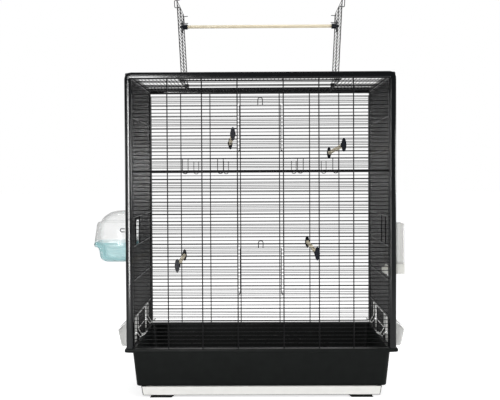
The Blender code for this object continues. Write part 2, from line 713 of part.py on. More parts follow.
def make_roof():
    """Close bars from front to back round the big opening, over heavier cross wires."""
    reach_x, reach_y = POST_INNER_X - GAP, POST_INNER_Y - GAP
    opening = (ROOF_OPENING_FRONT, ROOF_OPENING_BACK)
    height = around(ROOF_BAR_HEIGHT, BAR)
    boxes = []
    last = int((reach_x - BAR / 2) / BAR_PITCH)
    for index in range(-last, last + 1):
        place = index * BAR_PITCH
        across = around(place, BAR)
        if abs(place) < ROOF_OPENING_HALF:
            boxes.append(box(across, (-reach_y, opening[0]), height))
            boxes.append(box(across, (opening[1], reach_y), height))
        else:
            boxes.append(box(across, (-reach_y, reach_y), height))
    for side in (-1, 1):
        end = (side * (reach_y - BAR), side * reach_y)
        boxes.append(box((-reach_x, reach_x), end, height))
        boxes.append(box(around(side * ROOF_OPENING_HALF, BAR), (-reach_y, reach_y), height))
    for edge, out in zip(opening, (-1, 1)):
        across = (-ROOF_OPENING_HALF, ROOF_OPENING_HALF)
        boxes.append(box(across, (edge, edge + out * BAR), height))
    add_object("roof_bars", welded_mesh("roof_bars", boxes), "wire_black")

    height = around(ROOF_FRAME_HEIGHT, FRAME_WIRE)
    boxes = []
    for place in (opening[0] - BAR / 2, 0.0, opening[1] + BAR / 2):
        boxes.append(box((-reach_x, reach_x), around(place, FRAME_WIRE), height))
    for side in (-1, 1):
        end = (side * (reach_x - FRAME_WIRE), side * reach_x)
        boxes.append(box(end, (-reach_y, reach_y), height))
        part = (side * ROOF_OPENING_HALF, side * reach_x)
        for place in ROOF_SIDE_WIRES:
            boxes.append(box(part, around(place, FRAME_WIRE), height))
        edge = around(side * (ROOF_OPENING_HALF + FRAME_WIRE), FRAME_WIRE)
        boxes.append(box(edge, (-reach_y, reach_y), height))
    add_object("roof_frame", welded_mesh("roof_frame", boxes), "wire_black")


def flap_boxes(outward):
    """A flap standing on its hinge line, with its outer face towards outward in X."""
    front, back = ROOF_OPENING_FRONT + FLAP_END_GAP, ROOF_OPENING_BACK - FLAP_END_GAP
    plane = around(0, BAR)
    full = (-BAR / 2, FLAP_ROWS * FLAP_PITCH + BAR / 2)
    boxes = []
    for row in range(FLAP_ROWS + 1):
        boxes.append(box(plane, (front, back), around(row * FLAP_PITCH, BAR)))
    for place in (front + BAR / 2, 0.0, back - BAR / 2):
        boxes.append(box(plane, around(place, BAR), full))
    pull = (front, front + SMALL_WIRE)
    low, high = full[1] - PULL_HEIGHT, full[1]
    reach = outward * (BAR / 2 + PULL_STAND_OFF)
    boxes.append(box((reach - outward * SMALL_WIRE, reach), pull, (low, high)))
    tail = -outward * PULL_TAIL
    for start in (low, high - SMALL_WIRE):
        boxes.append(box((tail, reach), pull, (start, start + SMALL_WIRE)))
    staple = (back - SMALL_WIRE, back)
    reach = -outward * (BAR / 2 + STAPLE_REACH)
    high = full[1] - STAPLE_DROP
    for start in (high - STAPLE_HEIGHT, high - SMALL_WIRE):
        boxes.append(box((0, reach), staple, (start, start + SMALL_WIRE)))
    return boxes


def make_flaps():
    for name, side in (("left", -1), ("right", 1)):
        mesh = welded_mesh(f"flap_{name}", flap_boxes(side))
        place = (side * ROOF_OPENING_HALF, 0, FLAP_HINGE_HEIGHT)
        add_object(f"flap_{name}", mesh, "wire_black", place, side * radians(FLAP_LEAN))


def make_knuckles():
    """Black blocks that turn on the flap's hinge wire and clip over the roof's edge wire."""
    half, hole = KNUCKLE_HALF, HINGE_HOLE
    low = ROOF_BAR_HEIGHT - BAR / 2 - FLAP_HINGE_HEIGHT
    web_low = low + BAR + GAP
    wire_side = BAR / 2 + GAP
    along = around(0, KNUCKLE_LENGTH)
    boxes = [
        box((-half, half), along, (hole, half)),
        box((-half, half), along, (web_low, -hole)),
    ]
    for side in (-1, 1):
        boxes.append(box((side * hole, side * half), along, (low, half)))
        boxes.append(box((side * wire_side, side * half), along, (low, -hole)))
    mesh = welded_mesh("flap_knuckle", boxes)
    for name, side in (("left", -1), ("right", 1)):
        for end, place in zip(("front", "back"), KNUCKLE_PLACES):
            spot = (side * ROOF_OPENING_HALF, place, FLAP_HINGE_HEIGHT)
            add_object(f"hinge_{name}_{end}", mesh, "black_gloss", spot)


def cap_sections():
    """A perch cap from its outer plate inward, measured along Y from that plate."""
    neck_end = CAP_PLATE + FRAME_WIRE + BAR + 3 * GAP
    hub_end = neck_end + CAP_HUB_LENGTH
    bore = DOWEL_RADIUS + CAP_BORE_SLACK
    return [
        (0, 0, 0, CAP_HALF_WIDTH, CAP_HALF_HEIGHT),
        (CAP_PLATE, 0, 0, CAP_HALF_WIDTH, CAP_HALF_HEIGHT),
        (CAP_PLATE, 0, 0, CAP_NECK_WIDTH, CAP_NECK_HEIGHT),
        (neck_end, 0, 0, CAP_NECK_WIDTH, CAP_NECK_HEIGHT),
        (neck_end, 0, 0, CAP_HUB_RADIUS, CAP_HUB_RADIUS),
        (hub_end, 0, 0, CAP_HUB_RADIUS, CAP_HUB_RADIUS),
        (hub_end, 0, 0, bore, bore),
        (hub_end - CAP_BORE_DEPTH, 0, 0, bore, bore),
    ]


def make_perches():
    """Four dowels from front to back, each held by two caps clamped through the bars."""
    sections = cap_sections()
    front_mesh = oval_loft("perch_cap_front", sections)
    back_mesh = oval_loft("perch_cap_back", [(-s[0], *s[1:]) for s in sections])
    plate = FRONT_FRAME_DEPTH + FRAME_WIRE / 2 + GAP + CAP_PLATE
    seat = plate - sections[-1][0] - GAP
    for number, (front_x, back_x, front_gap, back_gap) in enumerate(PERCHES, 1):
        front_z, back_z = gap_height(front_gap), gap_height(back_gap)
        ends = [
            (-seat, front_x, front_z, DOWEL_RADIUS, DOWEL_RADIUS),
            (seat, back_x, back_z, DOWEL_RADIUS, DOWEL_RADIUS),
        ]
        smooth(add_object(f"perch_{number}", oval_loft("perch", ends, 16), "wood"))
        name = f"perch_{number}_cap"
        place = (front_x, -plate, front_z)
        smooth(add_object(f"{name}_front", front_mesh, "cap_black", place))
        place = (back_x, plate, back_z)
        smooth(add_object(f"{name}_back", back_mesh, "cap_black", place))


def make_roof_perch():
    """Dowel between the standing flaps, held by forked caps round their middle wires."""
    lean = radians(FLAP_LEAN)
    along_flap = ROOF_PERCH_ROW * FLAP_PITCH
    height = FLAP_HINGE_HEIGHT + along_flap * cos(lean)
    flap_x = ROOF_OPENING_HALF + along_flap * sin(lean)
    face = flap_x - BAR / 2 - CAP_HALF_HEIGHT * sin(lean) - 2 * GAP
    bore = ROOF_DOWEL_RADIUS + GAP
    hub_inner = face - CAP_PLATE - ROOF_CAP_HUB
    sections = [
        (face, 0, 0, ROOF_CAP_HALF_WIDTH, CAP_HALF_HEIGHT),
        (face - CAP_PLATE, 0, 0, ROOF_CAP_HALF_WIDTH, CAP_HALF_HEIGHT),
        (face - CAP_PLATE, 0, 0, ROOF_CAP_HUB_RADIUS, ROOF_CAP_HUB_RADIUS),
        (hub_inner, 0, 0, ROOF_CAP_HUB_RADIUS, ROOF_CAP_HUB_RADIUS),
        (hub_inner, 0, 0, bore, bore),
        (hub_inner + CAP_BORE_DEPTH, 0, 0, bore, bore),
    ]
    dowel_end = hub_inner + CAP_BORE_DEPTH - GAP
    for name, side in (("left", -1), ("right", 1)):
        cap = add_object(f"roof_perch_cap_{name}", oval_loft("roof_cap", sections), "cap_black")
        fork = []
        for edge in (-1, 1):
            across = (edge * FORK_INNER, edge * FORK_OUTER)
            fork.append(box(across, (face - CAP_PLATE / 2, face + FORK_REACH),
                            around(0, FORK_HEIGHT)))
        fork.append(box((-FORK_OUTER, FORK_OUTER), (face - CAP_PLATE / 2, face - CAP_PLATE / 3),
                        around(0, FORK_HEIGHT)))
        tool = add_object("fork", welded_mesh("fork", fork), "cap_black")
        apply_boolean(cap, tool, "UNION")
        cap.data.transform(Matrix.Rotation(-side * pi / 2, 4, "Z"))
        cap.location = (0, 0, height)
        smooth(cap)
    ends = [(along, 0, 0, ROOF_DOWEL_RADIUS, ROOF_DOWEL_RADIUS) for along in
            (-dowel_end, dowel_end)]
    mesh = oval_loft("roof_perch", ends, 16)
    mesh.transform(Matrix.Rotation(-pi / 2, 4, "Z"))
    smooth(add_object("roof_perch", mesh, "wood", (0, 0, height)))


def hung_loop(height, insets):
    """A level of the bath: insets from its outer wall, the grille side and the ends."""
    far, near, ends, radius = insets
    reach = BATH_REACH - far - near
    centre = (-SIDE_FACE - near - reach / 2, BATH_CENTRE)
    flat = rounded_loop(reach / 2, BATH_HALF_DEPTH - ends, radius, 3, centre)
    return [(x, y, height) for x, y in flat]


def thinned(insets):
    """The same level on the inside of the shell."""
    far, near, ends, radius = insets
    wall = BATH_SHELL
    return far + wall, near + wall, ends + wall, radius - wall


def make_bath():
    """Clear hood over a turquoise basin, hung outside the left opening on a grey clip."""
    outer = [(HOOD_LOW + level[0] * HOOD_HEIGHT, level[1:]) for level in HOOD_LEVELS]
    inner = [(height, thinned(insets)) for height, insets in outer]
    inner[-1] = (inner[-1][0] - BATH_SHELL, inner[-1][1])
    loops = [hung_loop(*level) for level in inner[::-1] + outer]
    dome = add_object("bath_dome", loft_mesh("bath_dome", loops), "clear")
    doorway = box(around(-SIDE_FACE, BATH_CORNER),
                  (BATH_EDGES[0] + DOORWAY_INSET, BATH_EDGES[1] - DOORWAY_INSET),
                  around(HOOD_LOW + (BATH_RIM_HEIGHT + DOORWAY_HEIGHT) / 2, DOORWAY_HEIGHT))
    tool = add_object("doorway", welded_mesh("doorway", [doorway]), "clear")
    smooth(apply_boolean(dome, tool, "DIFFERENCE"))

    top = HOOD_LOW - GAP
    rim = (0, 0, 0, BATH_CORNER)
    below = [(BASIN_RIM_LOW - level[0] * BASIN_DEPTH, level[1:]) for level in BASIN_LEVELS]
    outer = [(top, rim), (BASIN_RIM_LOW, rim)] + below
    inner = [(height, thinned(insets)) for height, insets in below]
    inner[-1] = (inner[-1][0] + BATH_SHELL, inner[-1][1])
    inner[0] = (top, inner[0][1])
    loops = [hung_loop(*level) for level in inner[::-1] + outer]
    smooth(add_object("bath_basin", loft_mesh("bath_basin", loops), "turquoise"))

    length = (-SIDE_FACE - CLIP_START - CLIP_LENGTH, -SIDE_FACE - CLIP_START)
    low = HOOD_LOW + CLIP_RISE - BATH_RIM_HEIGHT / 2
    lean = HOOD_LEVELS[1][3] * (low - HOOD_LOW) / (HOOD_LEVELS[1][0] * HOOD_HEIGHT)
    side_y = BATH_CENTRE - BATH_HALF_DEPTH + lean - GAP
    across = (side_y - CLIP_BAR, side_y)
    top = low + CLIP_HEIGHT
    boxes = [
        box(length, across, (low, low + CLIP_BAR)),
        box(length, across, (top - CLIP_BAR, top)),
        box((length[0], length[0] + CLIP_BAR), across, (low, top)),
    ]
    add_object("bath_hook", welded_mesh("bath_hook", boxes), "grey_plastic")
    face = -SIDE_FACE - BATH_REACH - GAP
    turns = [2 * pi * step / 12 for step in range(12)]
    height = BATH_RIM - KNOB_DROP
    loops = []
    for out, share in ((0, 1.0), (0.7, 1.0), (1.0, 0.6)):
        radius = share * KNOB_RADIUS
        loops.append([(face - out * KNOB_LENGTH, BATH_CENTRE + radius * cos(t),
                       height + radius * sin(t)) for t in turns])
    smooth(add_object("bath_knob", loft_mesh("bath_knob", loops), "grey_plastic"))


def make_silo():
    """Milky seed tank on a trough whose mouth reaches in through the right grille."""
    half_x = (SILO_OUTER - SILO_INNER) / 2
    centre = (SILO_INNER + half_x, SILO_CENTRE)
    deep = SILO_HALF_DEPTH
    wall = SILO_SHELL
    low = SILO_SPLIT + GAP
    sections = [
        (SILO_TOP - wall, half_x - wall - 0.002, deep - wall - 0.002, 0.004),
        (SILO_TOP - 0.006, half_x - wall, deep - wall, 0.005),
        (low, half_x - wall, deep - wall, 0.005),
        (low, half_x, deep, 0.006),
        (SILO_TOP - 0.006, half_x, deep, 0.006),
        (SILO_TOP, half_x - 0.003, deep - 0.003, 0.004),
    ]
    mesh = rounded_loft("silo_tank", sections, centre, steps=3)
    smooth(add_object("silo_tank", mesh, "milky"))

    neck = (SILO_CENTRE - SILO_NECK_HALF, SILO_CENTRE + SILO_NECK_HALF)
    grille = SIDE_FRAME_OFFSET - FRAME_WIRE / 2
    mouth = grille - SILO_REACH_IN
    floor = (SILO_BOTTOM, SILO_BOTTOM + wall)
    neck_top = between_rows(*SILO_ROWS)[1] - 2 * GAP
    pocket = (SILO_CENTRE - deep, SILO_CENTRE + deep)
    boxes = [
        box((SILO_INNER, SILO_OUTER), pocket, floor),
        box((SILO_OUTER - wall, SILO_OUTER), pocket, (SILO_BOTTOM, SILO_SPLIT)),
        box((mouth, SILO_OUTER), neck, floor),
        box((mouth, mouth + wall), neck, (SILO_BOTTOM, SILO_BOTTOM + SILO_LIP)),
        box((grille, SILO_INNER + wall), neck, (neck_top - wall, neck_top)),
    ]
    for side in (-1, 1):
        end = SILO_CENTRE + side * deep
        edge = SILO_CENTRE + side * SILO_NECK_HALF
        whole = (SILO_BOTTOM, SILO_SPLIT)
        boxes.append(box((SILO_INNER, SILO_OUTER), (end - side * wall, end), whole))
        boxes.append(box((SILO_INNER, SILO_INNER + wall), (edge, end), whole))
        side_wall = (edge - side * wall, edge)
        boxes.append(box((grille, SILO_INNER + wall), side_wall, (SILO_BOTTOM, neck_top)))
        low_wall = (SILO_BOTTOM, SILO_BOTTOM + SILO_MOUTH_HEIGHT)
        boxes.append(box((mouth, grille), side_wall, low_wall))
    boxes.append(box((SILO_INNER, SILO_INNER + wall), neck, (neck_top - wall, SILO_SPLIT)))
    mesh = welded_mesh("silo_trough", boxes)
    add_object("silo_trough", mesh, "trough_grey")


def cup_outline(wall):
    """Cup seen along Y: sill, bottom, outer wall and sloping top, shrunk by wall."""
    bottom = CUP_BOTTOM + wall
    return [
        (SIDE_FACE + wall, bottom),
        (SIDE_FACE + CUP_BOTTOM_REACH - wall, bottom),
        (SIDE_FACE + CUP_OUTER_REACH - wall, CUP_OUTER_TOP),
        (SIDE_FACE + wall, CUP_INNER_TOP),
    ]


def make_cups():
    """Seed cups outside the ports, and the lids that lift on their inner edge."""
    half = CUP_HALF_DEPTH
    rise = CUP_INNER_TOP - CUP_OUTER_TOP
    slope = Vector((CUP_OUTER_REACH, -rise)).normalized()
    out = Vector((-slope.y, slope.x))
    for side_name, side in (("left", -1), ("right", 1)):
        for end_name, centre in zip(("front", "back"), CUP_CENTRES):
            body = prism_mesh("cup", cup_outline(0.0), -half, half)
            cup = add_object(f"cup_{end_name}_{side_name}", body, "milky")
            hollow = cup_outline(CUP_WALL)
            hollow[2] = tuple(Vector(hollow[2]) + out * CUP_WALL * 4)
            hollow[3] = tuple(Vector(hollow[3]) + out * CUP_WALL * 4)
            inner = prism_mesh("hollow", hollow, CUP_WALL - half, half - CUP_WALL)
            apply_boolean(cup, add_object("hollow", inner, "milky"), "DIFFERENCE")
            doorway = box((SIDE_FACE - CUP_WALL, SIDE_FACE + 3 * CUP_WALL),
                          (CUP_WALL - half, half - CUP_WALL),
                          (CUP_SILL, CUP_INNER_TOP + CUP_WALL))
            tool = add_object("doorway", welded_mesh("doorway", [doorway]), "milky")
            apply_boolean(cup, tool, "DIFFERENCE")

            start = out * GAP + slope * LID_SETBACK
            length = Vector((CUP_OUTER_REACH, -rise)).length + LID_OVERHANG - LID_SETBACK
            under = [start + slope * length * step / 4 + out * LID_BOW * sin(pi * step / 4)
                     for step in range(5)]
            over = [point + out * LID_THICK for point in under[::-1]]
            outline = [tuple(point) for point in under + over]
            width = half + LID_SIDE
            lid_mesh = prism_mesh("lid", outline, -width, width)
            lid = add_object(f"lid_{end_name}_{side_name}", lid_mesh, "milky")
            for piece in (cup, lid):
                if side < 0:
                    piece.data.transform(Matrix.Rotation(pi, 4, "Z"))
            cup.location = (0, centre, 0)
            lid.location = (side * SIDE_FACE, centre, CUP_INNER_TOP)


def make_cup_perches():
    """Bright wires inside each side grille, with a seat bent inward at each cup port."""
    face = SIDE_FRAME_OFFSET - FRAME_WIRE / 2 - GAP
    low, tip = TUB_TOP + CUP_PERCH_LOW_RISE, TUB_TOP + CUP_PERCH_TIP_RISE
    upper, lower = TUB_TOP + CUP_PERCH_UPPER_RISE, TUB_TOP + CUP_PERCH_LOWER_RISE
    wire = SMALL_WIRE
    for name, side in (("left", -1), ("right", 1)):
        plane = (side * (face - wire), side * face)
        inward = (side * (face - CUP_PERCH_REACH), side * face)
        nose = (inward[0], inward[0] + side * wire)
        boxes = []
        for height in (upper, lower):
            ends = (CUP_CENTRES[0] - CUP_PERCH_HALF, CUP_CENTRES[1] + CUP_PERCH_HALF)
            if height == lower:
                ends = (CUP_CENTRES[0] + CUP_PERCH_HALF, CUP_CENTRES[1] - CUP_PERCH_HALF)
            boxes.append(box(plane, ends, around(height, wire)))
        for centre in CUP_CENTRES:
            for edge in (-1, 1):
                strand = around(centre + edge * CUP_PERCH_HALF, wire)
                boxes.append(box(plane, strand, (low, upper)))
                boxes.append(box(inward, strand, (low, low + wire)))
                boxes.append(box(nose, strand, (low, tip)))
            across = (centre - CUP_PERCH_HALF, centre + CUP_PERCH_HALF)
            boxes.append(box(nose, across, (tip - wire, tip)))
        mesh = welded_mesh(f"cup_perches_{name}", boxes)
        add_object(f"cup_perches_{name}", mesh, "chrome")


def main():
    clear_scene()
    make_base_plate()
    make_drawer()
    make_tub()
    make_posts()
    make_top_rails()
    make_front_and_back_grilles()
    make_door("door_upper", UPPER_DOOR_BAR)
    make_door("door_lower", LOWER_DOOR_BAR)
    make_side_grilles()
    make_roof()
    make_flaps()
    make_knuckles()
    make_perches()
    make_roof_perch()
    make_bath()
    make_silo()
    make_cups()
    make_cup_perches()


main()
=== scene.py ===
# %% [markdown]
# # A wire bird cage, dressed for its picture
# The cage stands on a deep black tub with a slide-out tray. Black posts and rails carry close
# wire grilles, two roof flaps stand open round a wooden perch, and clear and milky feeders
# hang on the sides. The solid parts come in already, with their sizes and their joints.
# Here each of them gets its true roundness and its finish: the solids hold square wires,
# because those are light to compute, and the eye wants round ones.

# %% Load the solid parts
from math import cos, pi, radians, sin, tan

import bmesh
import bpy
from mathutils import Matrix, Vector


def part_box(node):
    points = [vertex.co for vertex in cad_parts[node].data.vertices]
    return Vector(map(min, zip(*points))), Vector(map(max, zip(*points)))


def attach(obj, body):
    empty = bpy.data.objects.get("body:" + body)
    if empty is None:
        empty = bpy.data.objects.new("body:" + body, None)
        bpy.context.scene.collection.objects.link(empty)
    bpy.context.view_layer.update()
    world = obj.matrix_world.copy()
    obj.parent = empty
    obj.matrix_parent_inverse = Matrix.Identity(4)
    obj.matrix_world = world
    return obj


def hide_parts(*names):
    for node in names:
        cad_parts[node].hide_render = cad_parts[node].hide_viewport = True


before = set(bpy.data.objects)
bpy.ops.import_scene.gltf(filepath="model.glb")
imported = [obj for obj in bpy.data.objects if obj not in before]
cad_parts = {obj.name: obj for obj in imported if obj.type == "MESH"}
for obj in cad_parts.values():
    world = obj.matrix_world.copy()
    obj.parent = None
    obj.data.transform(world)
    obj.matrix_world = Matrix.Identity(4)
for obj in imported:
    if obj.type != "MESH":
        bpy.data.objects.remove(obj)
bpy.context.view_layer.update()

# %% [markdown]
# ## The camera
# The photographer stood almost in front of the cage, a little under three metres away, with
# the lens at two thirds of its height. The camera could be found by trial, but the photo
# gives it: lines that run back meet at eye level, and the front and back frames differ in
# size by their distance. The cage sits right of the middle, so the camera is turned a
# little to the left, and a very small roll follows the photo's own tilt.

# %% Place the camera
PHOTO_WIDTH = 500
FOCAL_PIXELS = 899.5
SENSOR_WIDTH = 36.0
EYE = Vector((-0.0093, -2.897, 0.659))
TURN_LEFT, TILT_DOWN, ROLL = radians(0.473), radians(1.56), radians(-0.28)


def added(name, data):
    """An object with that data, linked into the scene."""
    made = bpy.data.objects.new(name, data)
    bpy.context.scene.collection.objects.link(made)
    return made


camera_data = bpy.data.cameras.new("Camera")
camera_data.sensor_width = SENSOR_WIDTH
camera_data.lens = FOCAL_PIXELS * SENSOR_WIDTH / PHOTO_WIDTH
camera = added("Camera", camera_data)
aim = Matrix.Rotation(TURN_LEFT, 4, "Z") @ Matrix.Rotation(pi / 2 - TILT_DOWN, 4, "X")
camera.matrix_world = Matrix.Translation(EYE) @ aim @ Matrix.Rotation(ROLL, 4, "Z")
bpy.context.scene.camera = camera
print("lens", round(camera_data.lens, 2), "mm")

# %% [markdown]
# ## Sizes that the pieces share
# A cage is counted in bars. Every panel, door and port starts and ends on a bar, so the
# pitch and the first bar's height place almost everything; only at the middle rail do the
# bars of the front and the back skip a few millimetres. The values below are the real ones
# in metres; the layers say how far each panel lies from the middle of the cage.

# %% Name the shared sizes
BAR, FRAME_WIRE, SMALL_WIRE = 0.0011, 0.0017, 0.0012
PITCH, FIRST_BAR, BAR_COUNT = 0.0113, 0.1504, 70
LOWER_BARS, MID_STEP = 46, 0.0043
HALF_WIDTH, HALF_DEPTH = 0.400, 0.250
FRONT_BARS, FRONT_FRAME, HINGE_DEPTH = 0.2375, 0.2398, 0.2403
SIDE_BARS, SIDE_FRAME, SIDE_FACE = 0.3840, 0.3812, 0.3853
ROOF_BARS, ROOF_FRAME = 0.9525, 0.9502
PANEL_X, PANEL_Y, PANEL_GAP = 0.3787, 0.2277, 0.0003
TUB_TOP, RAIL_UNDER, FRAME_TOP = 0.146, 0.944, 0.964
LEFT_RIGHT = (("left", -1), ("right", 1))
FRONT_BACK = (("front", -1), ("back", 1))


def bar_height(index):
    return FIRST_BAR + index * PITCH + (MID_STEP if index >= LOWER_BARS else 0.0)


print("bars from", bar_height(0), "to", round(bar_height(BAR_COUNT - 1), 4))

# %% [markdown]
# ## Shader groups
# Several finishes share an effect: moulded plastic and lacquer both have a fine texture,
# most things gather a little dust on top, and edges wear paler. Each effect is one node
# group with named inputs, built once and set differently in each material. Pictures of
# real surfaces could do this too, but nodes work at any scale and need no unwrapping.

# %% Small helpers for node trees
FLOAT, COLOUR, VECTOR = "NodeSocketFloat", "NodeSocketColor", "NodeSocketVector"


def node(tree, kind, inputs=None, **settings):
    made = tree.nodes.new(kind)
    for key, value in settings.items():
        setattr(made, key, value)
    for key, value in (inputs or {}).items():
        if isinstance(value, bpy.types.NodeSocket):
            tree.links.new(value, made.inputs[key])
        else:
            made.inputs[key].default_value = value
    return made


def linked(tree, *pairs):
    for source, target in pairs:
        tree.links.new(source, target)


def maths(tree, operation, *values):
    return node(tree, "ShaderNodeMath", dict(enumerate(values)),
                operation=operation).outputs[0]


def ranged(tree, value, low=0.0, high=1.0, to_low=0.0, to_high=1.0):
    return node(tree, "ShaderNodeMapRange",
                {"Value": value, "From Min": low, "From Max": high,
                 "To Min": to_low, "To Max": to_high}).outputs[0]


def noise(tree, place, scale, detail):
    return node(tree, "ShaderNodeTexNoise",
                {"Vector": place, "Scale": scale, "Detail": detail}).outputs["Fac"]


def bumped(tree, strength, height, distance):
    return node(tree, "ShaderNodeBump", {"Strength": strength, "Height": height,
                                         "Distance": distance}).outputs["Normal"]


def mixed(tree, amount, low, high):
    return node(tree, "ShaderNodeMix", {0: amount, 6: low, 7: high},
                data_type="RGBA").outputs[2]


def group_tree(name, inputs, outputs):
    tree = bpy.data.node_groups.new(name, "ShaderNodeTree")
    for label, kind, value in inputs:
        socket = tree.interface.new_socket(label, in_out="INPUT", socket_type=kind)
        socket.default_value = value
    for label, kind in outputs:
        tree.interface.new_socket(label, in_out="OUTPUT", socket_type=kind)
    start = tree.nodes.new("NodeGroupInput").outputs
    end = tree.nodes.new("NodeGroupOutput").inputs
    return tree, start, end


print("node helpers made")

# %% [markdown]
# ### Fine texture
# Moulded plastic and sprayed lacquer are never mirror flat: a mould leaves a fine grain and
# lacquer leaves a slow ripple. One noise makes the bump and a slower one varies the
# roughness, so highlights break up the way they do on the real surface.

# %% Build the fine texture group
GRAIN_DEPTH, RIPPLE_SCALE = 0.0003, 24.0
texture, start, end = group_tree(
    "Fine texture",
    [("Scale", FLOAT, 900.0), ("Depth", FLOAT, 0.1), ("Roughness", FLOAT, 0.4),
     ("Spread", FLOAT, 0.1)],
    [("Roughness", FLOAT), ("Normal", VECTOR)])
place = node(texture, "ShaderNodeTexCoord").outputs["Object"]
fine = noise(texture, place, start["Scale"], 3.0)
ripple = maths(texture, "SUBTRACT", noise(texture, place, RIPPLE_SCALE, 2.0), 0.5)
varied = maths(texture, "MULTIPLY_ADD", ripple, start["Spread"], start["Roughness"])
linked(texture, (varied, end["Roughness"]),
       (bumped(texture, start["Depth"], fine, GRAIN_DEPTH), end["Normal"]))
print("group", texture.name, "nodes", len(texture.nodes))

# %% [markdown]
# ### Dust and rubbed edges
# Dust settles on faces that look up, in patches, and edges that hands and cloths touch wear
# paler. The surface's own normal finds the first and its pointiness the second. The group
# gives back the base colour with both mixed in, so a material needs just one link.

# %% Build the handling group
PATCH_SCALE = 38.0
UPWARD, POINTED = (0.35, 1.0), (0.53, 0.62)
handled, start, end = group_tree(
    "Dust and rubbed edges",
    [("Colour", COLOUR, (0.5, 0.5, 0.5, 1)), ("Dust colour", COLOUR, (0.4, 0.39, 0.37, 1)),
     ("Dust", FLOAT, 0.1), ("Edge colour", COLOUR, (0.3, 0.3, 0.3, 1)),
     ("Edge wear", FLOAT, 0.1), ("Mottle", FLOAT, 0.1)],
    [("Colour", COLOUR)])
shape = node(handled, "ShaderNodeNewGeometry").outputs
place = node(handled, "ShaderNodeTexCoord").outputs["Object"]
patches = noise(handled, place, PATCH_SCALE, 5.0)
facing = node(handled, "ShaderNodeSeparateXYZ", {0: shape["Normal"]}).outputs["Z"]
settled = maths(handled, "MULTIPLY", ranged(handled, facing, *UPWARD), patches)
dust = maths(handled, "MULTIPLY", settled, start["Dust"])
rubbed = maths(handled, "MULTIPLY", ranged(handled, shape["Pointiness"], *POINTED),
               start["Edge wear"])
shade = ranged(handled, patches, 0.3, 0.7, -1.0, 0.0)
dimmed = maths(handled, "MULTIPLY_ADD", shade, start["Mottle"], 1.0)
mottled = node(handled, "ShaderNodeVectorMath", {0: start["Colour"], "Scale": dimmed},
               operation="SCALE").outputs[0]
worn = mixed(handled, rubbed, mottled, start["Edge colour"])
linked(handled, (mixed(handled, dust, worn, start["Dust colour"]), end["Colour"]))
print("group", handled.name, "nodes", len(handled.nodes))

# %% [markdown]
# ### Wood grain
# A turned dowel shows long fine streaks along its length and soft broader bands. Both are
# noise, squeezed hard along the dowel. The group takes the stretch as an input, because the
# roof perch lies across the cage and the other four lie front to back.

# %% Build the wood grain group
STREAK_SCALE, BAND_SCALE, STREAK_DEPTH = 1500.0, 260.0, 0.0004
grain, start, end = group_tree(
    "Wood grain",
    [("Stretch", VECTOR, (1.0, 0.03, 1.0)), ("Light", COLOUR, (0.8, 0.7, 0.5, 1)),
     ("Dark", COLOUR, (0.6, 0.45, 0.25, 1)), ("Depth", FLOAT, 0.2)],
    [("Colour", COLOUR), ("Roughness", FLOAT), ("Normal", VECTOR)])
place = node(grain, "ShaderNodeTexCoord").outputs["Object"]
along = node(grain, "ShaderNodeVectorMath", {0: place, 1: start["Stretch"]},
             operation="MULTIPLY").outputs[0]
streaks = noise(grain, along, STREAK_SCALE, 4.0)
bands = noise(grain, along, BAND_SCALE, 2.0)
spread = ranged(grain, maths(grain, "MULTIPLY", streaks, bands), 0.12, 0.42)
linked(grain, (mixed(grain, spread, start["Dark"], start["Light"]), end["Colour"]),
       (ranged(grain, streaks, 0.0, 1.0, 0.45, 0.75), end["Roughness"]),
       (bumped(grain, start["Depth"], streaks, STREAK_DEPTH), end["Normal"]))
print("group", grain.name, "nodes", len(grain.nodes))

# %% [markdown]
# ## Finishes
# Eight of the finishes are one recipe with different numbers: a Principled shader whose
# colour passes through the handling group and whose bump comes from the fine texture
# group. Black lacquer in a white studio mirrors a lot of white and turns grey, so the
# specular level of the tub, the caps and the front wires is kept low; the side bars keep a
# high one, because they glint. What is the same all over a surface is typed straight into
# the shader's own sockets.

# %% Make the plastic, lacquer and chrome finishes
EDGE_LIFT, EDGE_GAIN = 0.10, 1.15


def shader_of(name, values):
    made = bpy.data.materials.new(name)
    made.use_nodes = True
    shader = made.node_tree.nodes["Principled BSDF"]
    for key, value in values.items():
        shader.inputs[key].default_value = value
    return made, made.node_tree, shader


def feed(tree, shader, colour, relief):
    """Link a colour, and the roughness and normal that a group gives, to the shader."""
    linked(tree, (colour, shader.inputs["Base Color"]),
           (relief["Roughness"], shader.inputs["Roughness"]),
           (relief["Normal"], shader.inputs["Normal"]))


def placed_group(tree, source, **inputs):
    made = node(tree, "ShaderNodeGroup", node_tree=source)
    for key, value in inputs.items():
        made.inputs[key.replace("_", " ")].default_value = value
    return made.outputs


def finish(name, colour, roughness, specular, metallic, grit, handling):
    """grit is the fine texture's (scale, depth), handling (dust, edge wear, mottle)."""
    made, tree, shader = shader_of(name, {"Specular IOR Level": specular,
                                          "Metallic": metallic})
    edge = [min(1.0, EDGE_LIFT + EDGE_GAIN * value) for value in colour]
    dust, wear, mottle = handling
    skin = placed_group(tree, handled, Colour=(*colour, 1), Dust=dust, Edge_wear=wear,
                        Edge_colour=(*edge, 1), Mottle=mottle)
    fine = placed_group(tree, texture, Scale=grit[0], Depth=grit[1], Roughness=roughness,
                        Spread=roughness * 0.5)
    feed(tree, shader, skin["Colour"], fine)
    made.diffuse_color = (*colour, 1)
    return made


